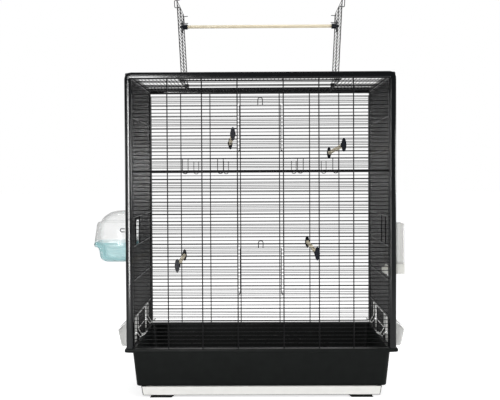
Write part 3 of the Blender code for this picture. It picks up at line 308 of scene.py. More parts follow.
FINISHES = {slot: finish(*row) for slot, *row in (
    ("gloss", "Black lacquer", (0.004, 0.005, 0.006), 0.15, 0.45, 0.0, (700, 0.03),
     (0.03, 0.10, 0.3)),
    ("base", "Black moulded tub", (0.006, 0.0075, 0.007), 0.42, 0.14, 0.0, (1500, 0.16),
     (0.05, 0.10, 0.3)),
    ("wire", "Black wire lacquer", (0.003, 0.003, 0.004), 0.30, 0.14, 0.0, (900, 0.05),
     (0.03, 0.04, 0.3)),
    ("side_wire", "Black wire lacquer of the sides", (0.003, 0.003, 0.004), 0.20, 0.95, 0.0,
     (900, 0.05), (0.04, 0.06, 0.3)),
    ("cap", "Black perch cap", (0.006, 0.008, 0.014), 0.36, 0.22, 0.0, (1300, 0.12),
     (0.05, 0.10, 0.2)),
    ("drawer", "Off-white tray", (0.87, 0.865, 0.835), 0.38, 0.5, 0.0, (1200, 0.10),
     (0.06, 0.05, 0.05)),
    ("clip", "Grey clip", (0.15, 0.15, 0.15), 0.40, 0.5, 0.0, (1200, 0.10),
     (0.05, 0.10, 0.1)),
    ("chrome", "Bright plated wire", (0.93, 0.93, 0.92), 0.22, 0.5, 0.35, (600, 0.10),
     (0.02, 0.0, 0.12)),
)}
print("finishes", sorted(FINISHES))

# %% [markdown]
# ### Wood
# The perches are pale, dry, unvarnished dowels. The grain group gives the colour, the
# roughness and the relief; the two materials differ only in the direction of the stretch.

# %% Make the wood finishes
LIGHT_WOOD, DARK_WOOD = (0.89, 0.83, 0.67, 1), (0.74, 0.64, 0.45, 1)


def wood(name, stretch):
    made, tree, shader = shader_of(name, {"Specular IOR Level": 0.3})
    grown = placed_group(tree, grain, Stretch=stretch, Light=LIGHT_WOOD, Dark=DARK_WOOD,
                         Depth=0.25)
    feed(tree, shader, grown["Colour"], grown)
    return made


FINISHES["wood"] = wood("Perch wood lengthwise", (1.0, 0.03, 1.0))
FINISHES["wood_across"] = wood("Perch wood crosswise", (0.03, 1.0, 1.0))
print("wood finishes made")

# %% [markdown]
# ### Clear and milky plastics
# The bath's hood is clear, its basin is clear turquoise, and the feeders are milky. All are
# thin shells that let light through. Seen along its wall such a shell looks darker and
# covers more, because the eye meets more plastic. Layer Weight's facing value gives both:
# it mixes in the edge colour, and it raises the Alpha.

# %% Make the see-through finishes
PLASTIC_IOR, SHELL_GRAIN, SHELL_DUST, SHELL_MOTTLE = 1.45, 220.0, 0.02, 0.04


def see_through(name, colour, edge, through, cover, roughness, depth, power):
    """edge is the colour along the wall, cover the Alpha face on and along the wall."""
    made, tree, shader = shader_of(name, {"Transmission Weight": through,
                                          "IOR": PLASTIC_IOR})
    facing = node(tree, "ShaderNodeLayerWeight", {"Blend": power}).outputs["Facing"]
    fine = placed_group(tree, texture, Scale=SHELL_GRAIN, Depth=depth,
                        Roughness=roughness, Spread=roughness)
    front, along = (placed_group(tree, handled, Colour=(*value, 1), Dust=SHELL_DUST,
                                 Edge_wear=0.0, Mottle=SHELL_MOTTLE)
                    for value in (colour, edge))
    feed(tree, shader, mixed(tree, facing, front["Colour"], along["Colour"]), fine)
    linked(tree, (ranged(tree, facing, 0.0, 1.0, *cover), shader.inputs["Alpha"]))
    made.diffuse_color = (*colour, 1)
    return made


FINISHES.update({slot: see_through(*row) for slot, *row in (
    ("clear", "Clear hood", (0.95, 0.95, 0.94), (0.50, 0.50, 0.50), 0.3, (0.11, 0.70),
     0.08, 0.02, 0.25),
    ("basin", "Turquoise basin", (0.52, 0.90, 0.92), (0.06, 0.40, 0.46), 0.4, (0.32, 0.92),
     0.10, 0.03, 0.30),
    ("silo", "Milky tank", (0.97, 0.97, 0.95), (0.80, 0.80, 0.78), 0.2, (0.35, 0.85),
     0.22, 0.05, 0.35),
    ("cup", "Milky cup", (0.97, 0.97, 0.95), (0.76, 0.76, 0.74), 0.2, (0.40, 0.88),
     0.24, 0.05, 0.35),
    ("trough", "Warm grey trough", (0.87, 0.87, 0.82), (0.62, 0.61, 0.57), 0.1, (0.97, 1.0),
     0.34, 0.05, 0.35),
)})
print("finishes now", len(FINISHES))

# %% [markdown]
# ## Round wire
# Almost everything on the cage is wire. A wire is a circle carried along a path, so one
# helper carries it: at every point of the path it sets a ring square to the direction, and
# it turns the rings as little as possible from one to the next, which keeps them from
# twisting. Blender's curves can do this with a bevel depth, but a mesh made directly lets
# hundreds of wires be one piece, as they are when they are welded.

# %% Make the wire helpers
SIDES, SOFT_ANGLE = 8, 50.0
BEND_SHARE = 0.49


def curved(points, radius, steps=5):
    """The path with each inner corner replaced by a bend of that radius."""
    points = [Vector(point) for point in points]
    path = [points[0]]
    for before, corner, after in zip(points, points[1:], points[2:]):
        into, out = (before - corner), (after - corner)
        half = into.angle(out) / 2
        run = min(radius / tan(half), into.length * BEND_SHARE, out.length * BEND_SHARE)
        first, last = corner + into.normalized() * run, corner + out.normalized() * run
        for step in range(steps + 1):
            t = step / steps
            path.append(first.lerp(corner, t).lerp(corner.lerp(last, t), t))
    return path + [points[-1]]


def skin_of(rings, closed=False):
    """Skin over rings of equal length, with capped ends unless it is closed."""
    count = len(rings[0])
    points = [point for ring in rings for point in ring]
    faces = []
    for row in range(len(rings) if closed else len(rings) - 1):
        low, high = row * count, (row + 1) % len(rings) * count
        for k in range(count):
            n = (k + 1) % count
            faces.append((low + k, low + n, high + n, high + k))
    if not closed:
        faces.append(tuple(range(count))[::-1])
        faces.append(tuple(range(len(points) - count, len(points))))
    return points, faces


def wire(points, radius, sides=SIDES):
    """Points and faces of a round wire along a path, with closed ends."""
    points = [Vector(point) for point in points]
    across = (points[1] - points[0]).orthogonal().normalized()
    rings = []
    for before, point, after in zip(points[:1] + points, points, points[1:] + points[-1:]):
        ahead = (after - before).normalized()
        across = (across - ahead * across.dot(ahead)).normalized()
        up = ahead.cross(across)
        rings.append([point + (across * cos(2 * pi * k / sides)
                               + up * sin(2 * pi * k / sides)) * radius
                      for k in range(sides)])
    return skin_of(rings)


def mesh_of(name, points, faces):
    mesh = bpy.data.meshes.new(name)
    mesh.from_pydata([tuple(point) for point in points], [], faces)
    return mesh


def dressed(made, slot, solid, body="cage", angle=SOFT_ANGLE):
    """Shade a piece smooth, give it a finish, and let it stand for a solid part."""
    made.data.shade_smooth()
    made.data.set_sharp_from_angle(angle=radians(angle))
    finish_name, slot_name = slot if isinstance(slot, tuple) else (slot, slot)
    made.data.materials.clear()
    made.data.materials.append(FINISHES[finish_name])
    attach(made, body)
    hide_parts(solid)
    return made


def piece(name, skins, slot, solid, body="cage", place=None, angle=SOFT_ANGLE):
    """Join skins into one mesh and dress it."""
    points, faces = [], []
    for skin, skin_faces in skins:
        faces += [tuple(index + len(points) for index in face) for face in skin_faces]
        points += skin
    mesh = mesh_of(name, points, faces)
    mesh.validate()
    if place is not None:
        mesh.transform(place)
    return dressed(added(name, mesh), slot, solid, body, angle)


print("a straight wire has", len(wire([(0, 0, 0), (0, 0, 1)], BAR)[0]), "points")

# %% [markdown]
# ## Grilles
# A panel is a ladder of thin bars, welded to a few heavier wires behind or in front. Where
# a door or a port opens, the bars stop short at an upright on each side. An array modifier
# could repeat one bar, but the stops make nearly every bar different, so a loop is plainer.

# %% Make the ladder helper
def ladder(places, reach, openings):
    """Bars at their places, as pairs of points (across the bars, along them).

    An opening is the places of the two bars that edge it and where the others stop."""
    runs = []
    for place in places:
        start = reach[0]
        for edges, (low, high) in openings:
            if edges[0] + BAR < place < edges[1] - BAR:
                runs.append(((place, start), (place, low - BAR)))
                start = high + BAR
        runs.append(((place, start), (place, reach[1])))
    ends = (reach[0] + 2 * BAR, reach[1] - 2 * BAR)
    for edges, (low, high) in [((places[0], places[-1]), ends)] + openings:
        for along in (low - BAR, high + BAR):
            runs.append(((edges[0], along), (edges[1], along)))
    return runs


def front_panel(runs, radius, layer):
    return [wire([(x, layer, z) for x, z in run], radius) for run in runs]


def side_panel(runs, radius, layer):
    return [wire([(layer, y, z) for y, z in run], radius) for run in runs]


DOOR_ROWS = {"door_upper": 51, "door_lower": 14}
DOOR_BARS, GAP_HALF = 12, 0.0665
heights = [bar_height(index) for index in range(BAR_COUNT)]
door_gaps = [((bar_height(row - 1), bar_height(row + DOOR_BARS + 1)), (-GAP_HALF, GAP_HALF))
             for row in DOOR_ROWS.values()]
for name, side in FRONT_BACK:
    gaps = door_gaps if name == "front" else []
    runs = [[(x, z) for z, x in run] for run in ladder(heights, (-PANEL_X, PANEL_X), gaps)]
    skins = front_panel(runs, BAR, side * FRONT_BARS)
    piece(f"{name}_bars_round", skins, "wire", f"{name}_bars")
    print(name, "bars", len(skins))

# %% [markdown]
# ## Uprights, the middle rail and its hooks
# The front and back panels are each stiffened by six uprights and by a doubled wire half
# way up. Four bent hooks on that rail hold toys and feeders. A hook is one wire bent into
# a U, so it is swept along a path with a round bottom, not put together from straights.

# %% Make the front and back frames
UPRIGHTS = (0.068, 0.173, 0.275)
MID_RAIL, MID_HALF = 0.672, 0.0015
HOOK_PLACES, HOOK_HALF, HOOK_TOP, HOOK_LOW = (0.118, 0.222), 0.0084, 0.709, 0.664
HOOK_WIRE, HOOK_PROUD, HOOK_STEPS = 0.0011, 0.0004, 8
PIN_SPAN = (0.0622, 0.068)


def hook_path(centre):
    turns = [pi * k / HOOK_STEPS for k in range(HOOK_STEPS + 1)]
    bottom = [(centre - HOOK_HALF * cos(turn),
               HOOK_LOW + HOOK_WIRE + HOOK_HALF * (1 - sin(turn))) for turn in turns]
    return [(centre - HOOK_HALF, HOOK_TOP)] + bottom + [(centre + HOOK_HALF, HOOK_TOP)]


for name, side in FRONT_BACK:
    layer = side * FRONT_FRAME
    runs = [((s * x, TUB_TOP), (s * x, RAIL_UNDER)) for x in UPRIGHTS for s in (-1, 1)]
    runs += [((-PANEL_X, z), (PANEL_X, z)) for z in (MID_RAIL - MID_HALF, MID_RAIL + MID_HALF)]
    skins = front_panel(runs, FRAME_WIRE, layer)
    hooks = [hook_path(s * x) for x in HOOK_PLACES for s in (-1, 1)]
    skins += front_panel(hooks, HOOK_WIRE, layer + side * HOOK_PROUD)
    if name == "front":
        for row in DOOR_ROWS.values():
            for s in (-1, 1):
                ends = [(s * x, -HINGE_DEPTH, bar_height(row)) for x in PIN_SPAN]
                skins.append(wire(ends, BAR))
    piece(f"{name}_frame_round", skins, "wire", f"{name}_frame")
    print(name, "frame wires", len(skins))

# %% [markdown]
# ## Side grilles
# On the sides the bars stand upright, and seen from the front they close up into one dark
# strip. They stop at the cup ports near the bottom, at the bath's opening on the left and
# at the silo's mouth on the right. Seven heavier wires run across inside them, with an
# upright beside every cup port and beside the bath.

# %% Make the side grilles
SIDE_COUNT = 40
SIDE_PLACES = [(index - (SIDE_COUNT - 1) / 2) * PITCH for index in range(SIDE_COUNT)]
PORT_BARS = {"cup_front": (1, 9), "cup_back": (23, 31), "bath": (6, 14), "silo": (0, 7)}
PORT_ROWS = {"bath": (26, 33), "silo": (18, 21)}
SIDE_WIRES = (0.235, 0.344, 0.447, 0.534, 0.633, 0.733, 0.832)
PANEL_ENDS = (TUB_TOP + PANEL_GAP, RAIL_UNDER - PANEL_GAP)
edges_of = {name: tuple(SIDE_PLACES[bar] for bar in bars) for name, bars in PORT_BARS.items()}
span_of = {name: (bar_height(low) + BAR, bar_height(high) - BAR)
           for name, (low, high) in PORT_ROWS.items()}
CUP_EDGES, CUP_TOP_ROW = [edges_of["cup_front"], edges_of["cup_back"]], 7
CUP_CENTRES = [sum(edges) / 2 for edges in CUP_EDGES]
CUP_SPAN = (PANEL_ENDS[0] + 2 * BAR, bar_height(CUP_TOP_ROW) - BAR)
for (name, side), port in zip(LEFT_RIGHT, ("bath", "silo")):
    gaps = [(edges, CUP_SPAN) for edges in CUP_EDGES] + [(edges_of[port], span_of[port])]
    skins = side_panel(ladder(SIDE_PLACES, PANEL_ENDS, gaps), BAR, side * SIDE_BARS)
    piece(f"{name}_bars_round", skins, ("side_wire", "wire"), f"{name}_bars")
    runs = [((-PANEL_Y, z), (PANEL_Y, z)) for z in SIDE_WIRES]
    runs += [((y, PANEL_ENDS[0]), (y, PANEL_ENDS[1]))
             for y in (FRAME_WIRE - PANEL_Y, PANEL_Y - FRAME_WIRE)]
    runs += [((y, SIDE_WIRES[2]), (y, SIDE_WIRES[3])) for y in edges_of["bath"]]
    runs += [((y, PANEL_ENDS[0]), (y, SIDE_WIRES[0])) for edges in CUP_EDGES for y in edges]
    frame_skins = side_panel(runs, FRAME_WIRE, side * SIDE_FRAME)
    piece(f"{name}_frame_round", frame_skins, "wire", f"{name}_frame")
    print(name, "side wires", len(skins) + len(frame_skins))

# %% [markdown]
# ## Roof
# The roof's bars run front to back, with a big opening in the middle that the two flaps
# cover when they are shut. Heavier wires cross below them.

# %% Make the roof
HALF_OPENING, OPENING_Y = 0.241, (-0.124, 0.121)
ROOF_STUBS = (0.061, 0.199)
skins = []


def roof_wire(start, end, radius, height):
    skins.append(wire([(*start, height), (*end, height)], radius))


last = int((PANEL_X - BAR) / PITCH)
for index in range(-last, last + 1):
    x = index * PITCH
    if abs(x) < HALF_OPENING:
        roof_wire((x, -PANEL_Y), (x, OPENING_Y[0]), BAR, ROOF_BARS)
        roof_wire((x, OPENING_Y[1]), (x, PANEL_Y), BAR, ROOF_BARS)
    else:
        roof_wire((x, -PANEL_Y), (x, PANEL_Y), BAR, ROOF_BARS)
for s in (-1, 1):
    y = s * (PANEL_Y - BAR)
    roof_wire((-PANEL_X, y), (PANEL_X, y), BAR, ROOF_BARS)
    roof_wire((s * HALF_OPENING, -PANEL_Y), (s * HALF_OPENING, PANEL_Y), BAR, ROOF_BARS)
for y in (OPENING_Y[0] - BAR, OPENING_Y[1] + BAR):
    roof_wire((-HALF_OPENING, y), (HALF_OPENING, y), BAR, ROOF_BARS)
piece("roof_bars_round", skins, "wire", "roof_bars")

skins = []
for y in (OPENING_Y[0] - BAR, 0.0, OPENING_Y[1] + BAR):
    roof_wire((-PANEL_X, y), (PANEL_X, y), FRAME_WIRE, ROOF_FRAME)
for s in (-1, 1):
    x = s * (PANEL_X - FRAME_WIRE)
    roof_wire((x, -PANEL_Y), (x, PANEL_Y), FRAME_WIRE, ROOF_FRAME)
    x = s * (HALF_OPENING + 2 * FRAME_WIRE)
    roof_wire((x, -PANEL_Y), (x, PANEL_Y), FRAME_WIRE, ROOF_FRAME)
    for y in ROOF_STUBS:
        roof_wire((s * HALF_OPENING, y), (s * PANEL_X, y), FRAME_WIRE, ROOF_FRAME)
piece("roof_frame_round", skins, "wire", "roof_frame")
print("roof frame wires", len(skins))

# %% [markdown]
# ## Roof flaps
# Each flap is a panel of its own that stands up on a hinge wire, leaning out three degrees.
# It is easiest to build it standing straight over its hinge and then turn the whole mesh.
# A bent pull sits outside on its front edge, and a staple inside on its back edge.

# %% Make the flaps
FLAP_HINGE, FLAP_LEAN, FLAP_ROWS, FLAP_PITCH = 0.957, radians(3.0), 21, 0.01147
FLAP_GAP, FLAP_UPRIGHT = 0.0005, 0.0014
FLAP_FRONT, FLAP_BACK = OPENING_Y[0] + FLAP_GAP, OPENING_Y[1] - FLAP_GAP
FLAP_TOP = FLAP_ROWS * FLAP_PITCH
PULL_OUT, PULL_TAIL, PULL_HEIGHT, PULL_BEND = 0.0078, 0.008, 0.0225, 0.004
PULL_TOP = FLAP_TOP - 0.0002
STAPLE_IN, STAPLE_BACK, STAPLE_BEND = 0.0143, 0.0012, 0.002
STAPLE_TOP, STAPLE_LOW = 0.23367, 0.21047


def flap_turn(side):
    spot = Matrix.Translation((side * HALF_OPENING, 0, FLAP_HINGE))
    return spot @ Matrix.Rotation(side * FLAP_LEAN, 4, "Y")


def bent(shape, y, radius):
    """A small wire bent through points (x, z) at one place in y."""
    return wire(curved([(x, y, z) for x, z in shape], radius), SMALL_WIRE)


for name, side in LEFT_RIGHT:
    skins = [wire([(0, FLAP_FRONT, row * FLAP_PITCH), (0, FLAP_BACK, row * FLAP_PITCH)], BAR)
             for row in range(FLAP_ROWS + 1)]
    for y in (FLAP_FRONT + BAR, 0.0, FLAP_BACK - BAR):
        skins.append(wire([(0, y, 0), (0, y, FLAP_TOP)], FLAP_UPRIGHT))
    tail, out, low = -side * PULL_TAIL, side * PULL_OUT, PULL_TOP - PULL_HEIGHT
    pull = [(tail, PULL_TOP), (out, PULL_TOP), (out, low), (tail, low)]
    skins.append(bent(pull, FLAP_FRONT + SMALL_WIRE, PULL_BEND))
    tips, back = -side * STAPLE_IN, -side * STAPLE_BACK
    staple = [(tips, STAPLE_TOP), (back, STAPLE_TOP), (back, STAPLE_LOW), (tips, STAPLE_LOW)]
    skins.append(bent(staple, FLAP_BACK - SMALL_WIRE, STAPLE_BEND))
    piece(f"flap_{name}_round", skins, "wire", f"flap_{name}", f"flap_{name}",
          flap_turn(side))
    print("flap", name, "wires", len(skins))

# %% [markdown]
# ## Doors
# A door is a small ladder with an eye bent at each lower corner, which turns on a pin of
# the upright beside it. A hairpin loop at the top springs over the bar above and holds the
# door shut. The eyes are two close turns of thin wire, as a wire bender would leave them.

# %% Make the doors
DOOR_HALF, LATCH_HALF, LATCH_RISE = 0.061, 0.0068, 0.0213
LATCH_STEP, LATCH_FOOT, LATCH_BEND = 0.0025, 0.001, 0.0062
EYE_PLACE, EYE_WIDTH, EYE_RADIUS, EYE_WIRE = 0.0633, 0.0016, 0.00245, 0.0008
EYE_TURNS, EYE_STEPS, ARM_WIRE, ARM_DEPTH = 2, 12, 0.0009, 0.0024


def eye_path(x):
    """Two close turns about the hinge line, from x on."""
    steps = EYE_STEPS * EYE_TURNS
    return [(x + EYE_WIDTH * k / steps, EYE_RADIUS * sin(2 * pi * k / EYE_STEPS),
             EYE_RADIUS * cos(2 * pi * k / EYE_STEPS)) for k in range(steps + 1)]


for name, row in DOOR_ROWS.items():
    inset = HINGE_DEPTH - FRONT_BARS
    top = DOOR_BARS * PITCH
    skins = [wire([(-DOOR_HALF, inset, k * PITCH), (DOOR_HALF, inset, k * PITCH)], BAR)
             for k in range(DOOR_BARS + 1)]
    for s in (-1, 1):
        skins.append(wire([(s * DOOR_HALF, inset, 0), (s * DOOR_HALF, inset, top)], BAR))
        skins.append(wire(eye_path(s * EYE_PLACE - EYE_WIDTH / 2), EYE_WIRE))
        skins.append(wire([(s * DOOR_HALF, inset, 0.0), (s * EYE_PLACE, ARM_DEPTH, 0.0)],
                          ARM_WIRE))
    half_loop = [(inset, top), (inset - LATCH_STEP, top + LATCH_FOOT),
                 (inset - LATCH_STEP, top + LATCH_RISE)]
    loop = [(-LATCH_HALF, y, z) for y, z in half_loop]
    loop += [(LATCH_HALF, y, z) for y, z in reversed(half_loop)]
    skins.append(wire(curved(loop, LATCH_BEND), SMALL_WIRE))
    spot = Matrix.Translation((0, -HINGE_DEPTH, bar_height(row)))
    piece(f"{name}_round", skins, "wire", name, name, spot)
    print(name, "wires", len(skins))

# %% [markdown]
# ## Posts
# The posts are lacquered tubes, square with very full corners, so the studio lamp draws one
# soft line down each. A superellipse gives that section: its exponent sets how square it
# is. A ring a few millimetres in from each end keeps the shading true; without it the
# chamfer at the end would tilt the shading all along the tube, and the lamp's line with it.

# %% Make the posts
FULLNESS, RAIL_FULLNESS, TUBE_STEPS = 3.6, 5.0, 64
HALF_POST_X, HALF_POST_Y, POST_INNER = 0.0105, 0.011, 0.379
POST_SIZE, RAIL_SIZE, FAN_STEPS, SUPPORT = 0.021, 0.020, 8, 0.0040
POST_ENDS = ((PANEL_GAP, -0.0006), (0.0012, 0.0), (SUPPORT, 0.0))


def tube_ring(half_a, half_b, fullness=FULLNESS):
    ring = []
    for k in range(TUBE_STEPS):
        c, s = cos(2 * pi * k / TUBE_STEPS), sin(2 * pi * k / TUBE_STEPS)
        ring.append((half_a * abs(c) ** (2 / fullness) * (1 if c > 0 else -1),
                     half_b * abs(s) ** (2 / fullness) * (1 if s > 0 else -1)))
    return ring


levels = [(TUB_TOP + inward, grow) for inward, grow in POST_ENDS]
levels += [(RAIL_UNDER - inward, grow) for inward, grow in reversed(POST_ENDS)]
for depth_name, sy in FRONT_BACK:
    for side_name, sx in LEFT_RIGHT:
        centre = (sx * (HALF_WIDTH - HALF_POST_X), sy * (HALF_DEPTH - HALF_POST_Y))
        rings = []
        for z, grow in levels:
            ring = tube_ring(HALF_POST_X + grow, HALF_POST_Y + grow)
            rings.append([(centre[0] + a * sx, centre[1] + b, z) for a, b in ring])
        if sx < 0:
            rings = [ring[::-1] for ring in rings]
        name = f"post_{depth_name}_{side_name}"
        piece(f"{name}_tube", [skin_of(rings)], "gloss", name)
print("posts made")

# %% [markdown]
# ### Rails
# The rails are squarer than the posts, so their exponent is higher. The front and back ones
# turn down at both ends to meet the posts: their last rings swing about the inner corner
# like a fan, while the section goes from a post's to a rail's. The side rails are straight.

# %% Make the rails
def rail_fan(sx, sy):
    """Rings that swing from a post's section to a rail's about the inner corner."""
    fan = []
    for step in range(FAN_STEPS + 1):
        share = step / FAN_STEPS
        half = (POST_SIZE + (RAIL_SIZE - POST_SIZE) * share) / 2
        ring = tube_ring(half, HALF_POST_Y, FULLNESS + (RAIL_FULLNESS - FULLNESS) * share)
        fan.append([(sx * (POST_INNER + (half + a) * cos(pi / 2 * share)),
                     sy * (HALF_DEPTH - HALF_POST_Y) + b,
                     RAIL_UNDER + (half + a) * sin(pi / 2 * share)) for a, b in ring])
    return fan + [[(x - sx * SUPPORT, y, z) for x, y, z in fan[-1]]]


for (name, sy), (side_name, sx) in zip(FRONT_BACK, LEFT_RIGHT):
    rings = rail_fan(-1, sy) + rail_fan(1, sy)[::-1]
    piece(f"rail_{name}_tube", [skin_of(rings)], "gloss", f"rail_top_{name}")
    ring = tube_ring(HALF_POST_X, RAIL_SIZE / 2, RAIL_FULLNESS)[::-1]
    x, z = sx * (HALF_WIDTH - HALF_POST_X), FRAME_TOP - RAIL_SIZE / 2
    rings = [[(x + a, y, z + b) for a, b in ring] for y in (-PANEL_Y, PANEL_Y)]
    piece(f"rail_{side_name}_tube", [skin_of(rings)], "gloss", f"rail_top_{side_name}")
print("rails made")

# %% [markdown]
# ## Tub
# The tub is one moulding: a flared wall, a flat rim that the posts stand on, and a ledge
# inside that leaves the middle open over the tray. Horizontal sections of a rounded
# rectangle, joined one above the other, follow it outside and come back down inside. More
# sections sit close together where an edge is rounded.

# %% Make the tub
def rounded(half_x, half_y, radius, steps=8, centre=(0.0, 0.0)):
    points = []
    for quarter, (sx, sy) in enumerate(((1, 1), (-1, 1), (-1, -1), (1, -1))):
        for step in range(steps + 1):
            turn = pi / 2 * (quarter + step / steps)
            points.append((centre[0] + sx * (half_x - radius) + radius * cos(turn),
                           centre[1] + sy * (half_y - radius) + radius * sin(turn)))
    return points


TUB_BOTTOM, TUB_CREASE = 0.034, 25
tub = [  # height, half size in X and in Y, corner radius
    (TUB_BOTTOM, 0.3690, 0.2370, 0.014), (TUB_BOTTOM + 0.0008, 0.3712, 0.2392, 0.0155),
    (TUB_BOTTOM + 0.0028, 0.3722, 0.2402, 0.016), (0.1338, 0.3818, 0.2493, 0.016),
    (0.1352, 0.3826, 0.2495, 0.016), (0.1357, 0.4005, 0.2497, 0.010),
    (0.1363, 0.4036, 0.2500, 0.006), (0.1378, 0.4048, 0.2504, 0.005),
    (0.1436, 0.4050, 0.2505, 0.005), (0.1452, 0.4044, 0.2498, 0.0045),
    (0.1460, 0.4029, 0.2483, 0.004), (0.1460, 0.3765, 0.2265, 0.004),
    (0.1456, 0.3760, 0.2260, 0.004), (0.1435, 0.3760, 0.2260, 0.004),
    (0.1435, 0.3790, 0.2465, 0.013), (0.0385, 0.3692, 0.2372, 0.013),
    (0.0370, 0.3676, 0.2356, 0.012), (0.0370, 0.3455, 0.2135, 0.006),
    (0.0366, 0.3450, 0.2130, 0.005), (TUB_BOTTOM, 0.3450, 0.2130, 0.005),
]
rings = [[(x, y, z) for x, y in rounded(a, b, r)] for z, a, b, r in tub]
piece("tub_moulding", [skin_of(rings, closed=True)], "base", "base_tray", angle=TUB_CREASE)
print("tub sections", len(tub))

# %% [markdown]
# ## Bevelled copies
# The bottom plate, the tray, the hinge clips and the silo's trough already have the right
# form, but their edges are as sharp as a drawing. A copy with a small bevel on every edge
# catches the light as a moulded edge does. The flat faces are joined first, so that the
# bevel follows real edges only.

# %% Bevel the plain mouldings
FINE_EDGE, CLIP_EDGE, EDGE_STEPS = 0.0006, 0.0012, 3
SAME_PLACE, FLAT, CREASE = 1e-6, 1.0, 40


def softened(node_name, width, slot, body="cage"):
    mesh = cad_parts[node_name].data.copy()
    work = bmesh.new()
    work.from_mesh(mesh)
    bmesh.ops.remove_doubles(work, verts=work.verts, dist=SAME_PLACE)
    bmesh.ops.dissolve_limit(work, angle_limit=radians(FLAT), verts=work.verts,
                             edges=work.edges)
    work.to_mesh(mesh)
    work.free()
    made = added(f"{node_name}_moulded", mesh)
    bevel = made.modifiers.new("Edges", "BEVEL")
    bevel.width, bevel.segments, bevel.limit_method = width, EDGE_STEPS, "ANGLE"
    dressed(made, slot, node_name, body, CREASE)


softened("base_plate", FINE_EDGE, "base")
softened("drawer", FINE_EDGE, "drawer", "drawer")
softened("silo_trough", FINE_EDGE, "trough")
for end in ("left_front", "left_back", "right_front", "right_back"):
    softened(f"hinge_{end}", CLIP_EDGE, "gloss")
print("bevelled copies made")

# %% [markdown]
# ## Perches and their caps
# The dowels are plain, with a small chamfer at each end. A cap is turned: an oval plate
# outside the bars, a neck between two of them, and a round cup inside that takes the
# dowel. Its outline is a list of ovals along its axis, close together at each edge.

# %% Make the perches
TURN_SIDES, CORNER_CUT, CUT_SHARE = 28, 0.0006, 0.4


def box_of(solid):
    """A solid's lowest and highest corners, and the middle between them."""
    low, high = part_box(solid)
    return low, high, (low + high) / 2


def ovals(sections, place, axis="Y", sides=TURN_SIDES):
    """Skin over ovals along an axis: each (distance, half width, half height)."""
    rings = []
    for along, half_a, half_b in sections:
        ring = []
        for k in range(sides):
            a, b = half_a * cos(2 * pi * k / sides), half_b * sin(2 * pi * k / sides)
            ring.append((a, along, b) if axis == "Y" else (along, a, b))
        rings.append([Vector(place) + Vector(point) for point in ring])
    return skin_of(rings)


def turned(outline):
    """Cut the corners of an outline of (distance, half width, half height)."""
    soft = [outline[0]]
    for before, here, after in zip(outline, outline[1:], outline[2:]):
        for other in (before, after):
            gap = Vector(other) - Vector(here)
            soft.append(tuple(Vector(here) + gap * min(CUT_SHARE, CORNER_CUT / gap.length)))
    return soft + [outline[-1]]


PLATE, NECK, CUP_END, CUP_FLOOR = 0.0028, 0.0087, 0.0227, 0.0137
DOWEL_IN, DOWEL_RADIUS, DOWEL_END, END_SCALE = 0.0145, 0.006, 0.003, 0.88
cap = [(0.0, 0.0050, 0.0180), (0.0, 0.00725, 0.02025), (PLATE, 0.00725, 0.02025),
       (PLATE, 0.003, 0.0042), (NECK, 0.003, 0.0042), (NECK, 0.0085, 0.0085),
       (CUP_END, 0.0085, 0.0085), (CUP_END, 0.0071, 0.0071), (CUP_FLOOR, 0.0071, 0.0071),
       (CUP_FLOOR, 0.0001, 0.0001)]
for number in range(1, 5):
    ends = []
    for end, way in (("front", 1), ("back", -1)):
        name = f"perch_{number}_cap_{end}"
        low, high, middle = box_of(name)
        outer = low.y if way > 0 else high.y
        sections = [(way * a, b, c) for a, b, c in turned(cap)]
        made = piece(f"{name}_turned", [ovals(sections, (middle.x, outer, middle.z))], "cap",
                     name, angle=CREASE)
        if way < 0:
            made.data.flip_normals()
        ends.append(Vector((middle.x, outer + way * DOWEL_IN, middle.z)))
    start, stop = ends
    path = [start, start.lerp(stop, DOWEL_END), start.lerp(stop, 1 - DOWEL_END), stop]
    skin, faces = wire(path, DOWEL_RADIUS, sides=TURN_SIDES)
    for k in range(TURN_SIDES):
        skin[k] = start.lerp(skin[k], END_SCALE)
        skin[-1 - k] = stop.lerp(skin[-1 - k], END_SCALE)
    piece(f"perch_{number}_dowel", [(skin, faces)], "wood", f"perch_{number}",
          angle=CREASE)
print("perches made")

# %% [markdown]
# ## The roof perch
# The playtop's perch lies across, clipped between the standing flaps. Its caps carry a
# fork that grips the middle wire of a flap. They are built like the others, with the fork
# as two rounded prongs in the same mesh.

# %% Make the roof perch
FORK_ROOT, FORK_TIP, FORK_LENGTH, FORK_HALF = 0.001, 0.0078, 0.008, 0.0033
FORK_WIRE, FORK_LAYERS = 0.0011, (-0.0018, -0.0006, 0.0006, 0.0018)
SOCKET, ROOF_END, ROOF_END_SCALE = 0.009, 0.0015, 0.86
low, high, middle = box_of("roof_perch_cap_left")
height = middle.z
face = -low.x - FORK_LENGTH
hub = face + high.x
roof_cap = [(0.0, 0.0070, 0.0180), (0.0, 0.0092, 0.02025), (PLATE, 0.0092, 0.02025),
            (PLATE, 0.0083, 0.0083), (hub, 0.0083, 0.0083), (hub, 0.0059, 0.0059),
            (hub - SOCKET, 0.0059, 0.0059), (hub - SOCKET, 0.0001, 0.0001)]
for name, side in LEFT_RIGHT:
    sections = [(-side * a, b, c) for a, b, c in turned(roof_cap)]
    skins = [ovals(sections, (side * face, 0, height), "X")]
    for s in (-1, 1):
        skins += [wire([(side * (face - FORK_ROOT), s * FORK_HALF, height + rise),
                        (side * (face + FORK_TIP), s * FORK_HALF, height + rise)], FORK_WIRE)
                  for rise in FORK_LAYERS]
    piece(f"roof_perch_cap_{name}_turned", skins, "cap", f"roof_perch_cap_{name}",
          angle=CREASE)
low, high, middle = box_of("roof_perch")
radius = high.z - middle.z
small = ROOF_END_SCALE * radius
ends = [(low.x, small, small), (low.x + ROOF_END, radius, radius),
        (high.x - ROOF_END, radius, radius), (high.x, small, small)]
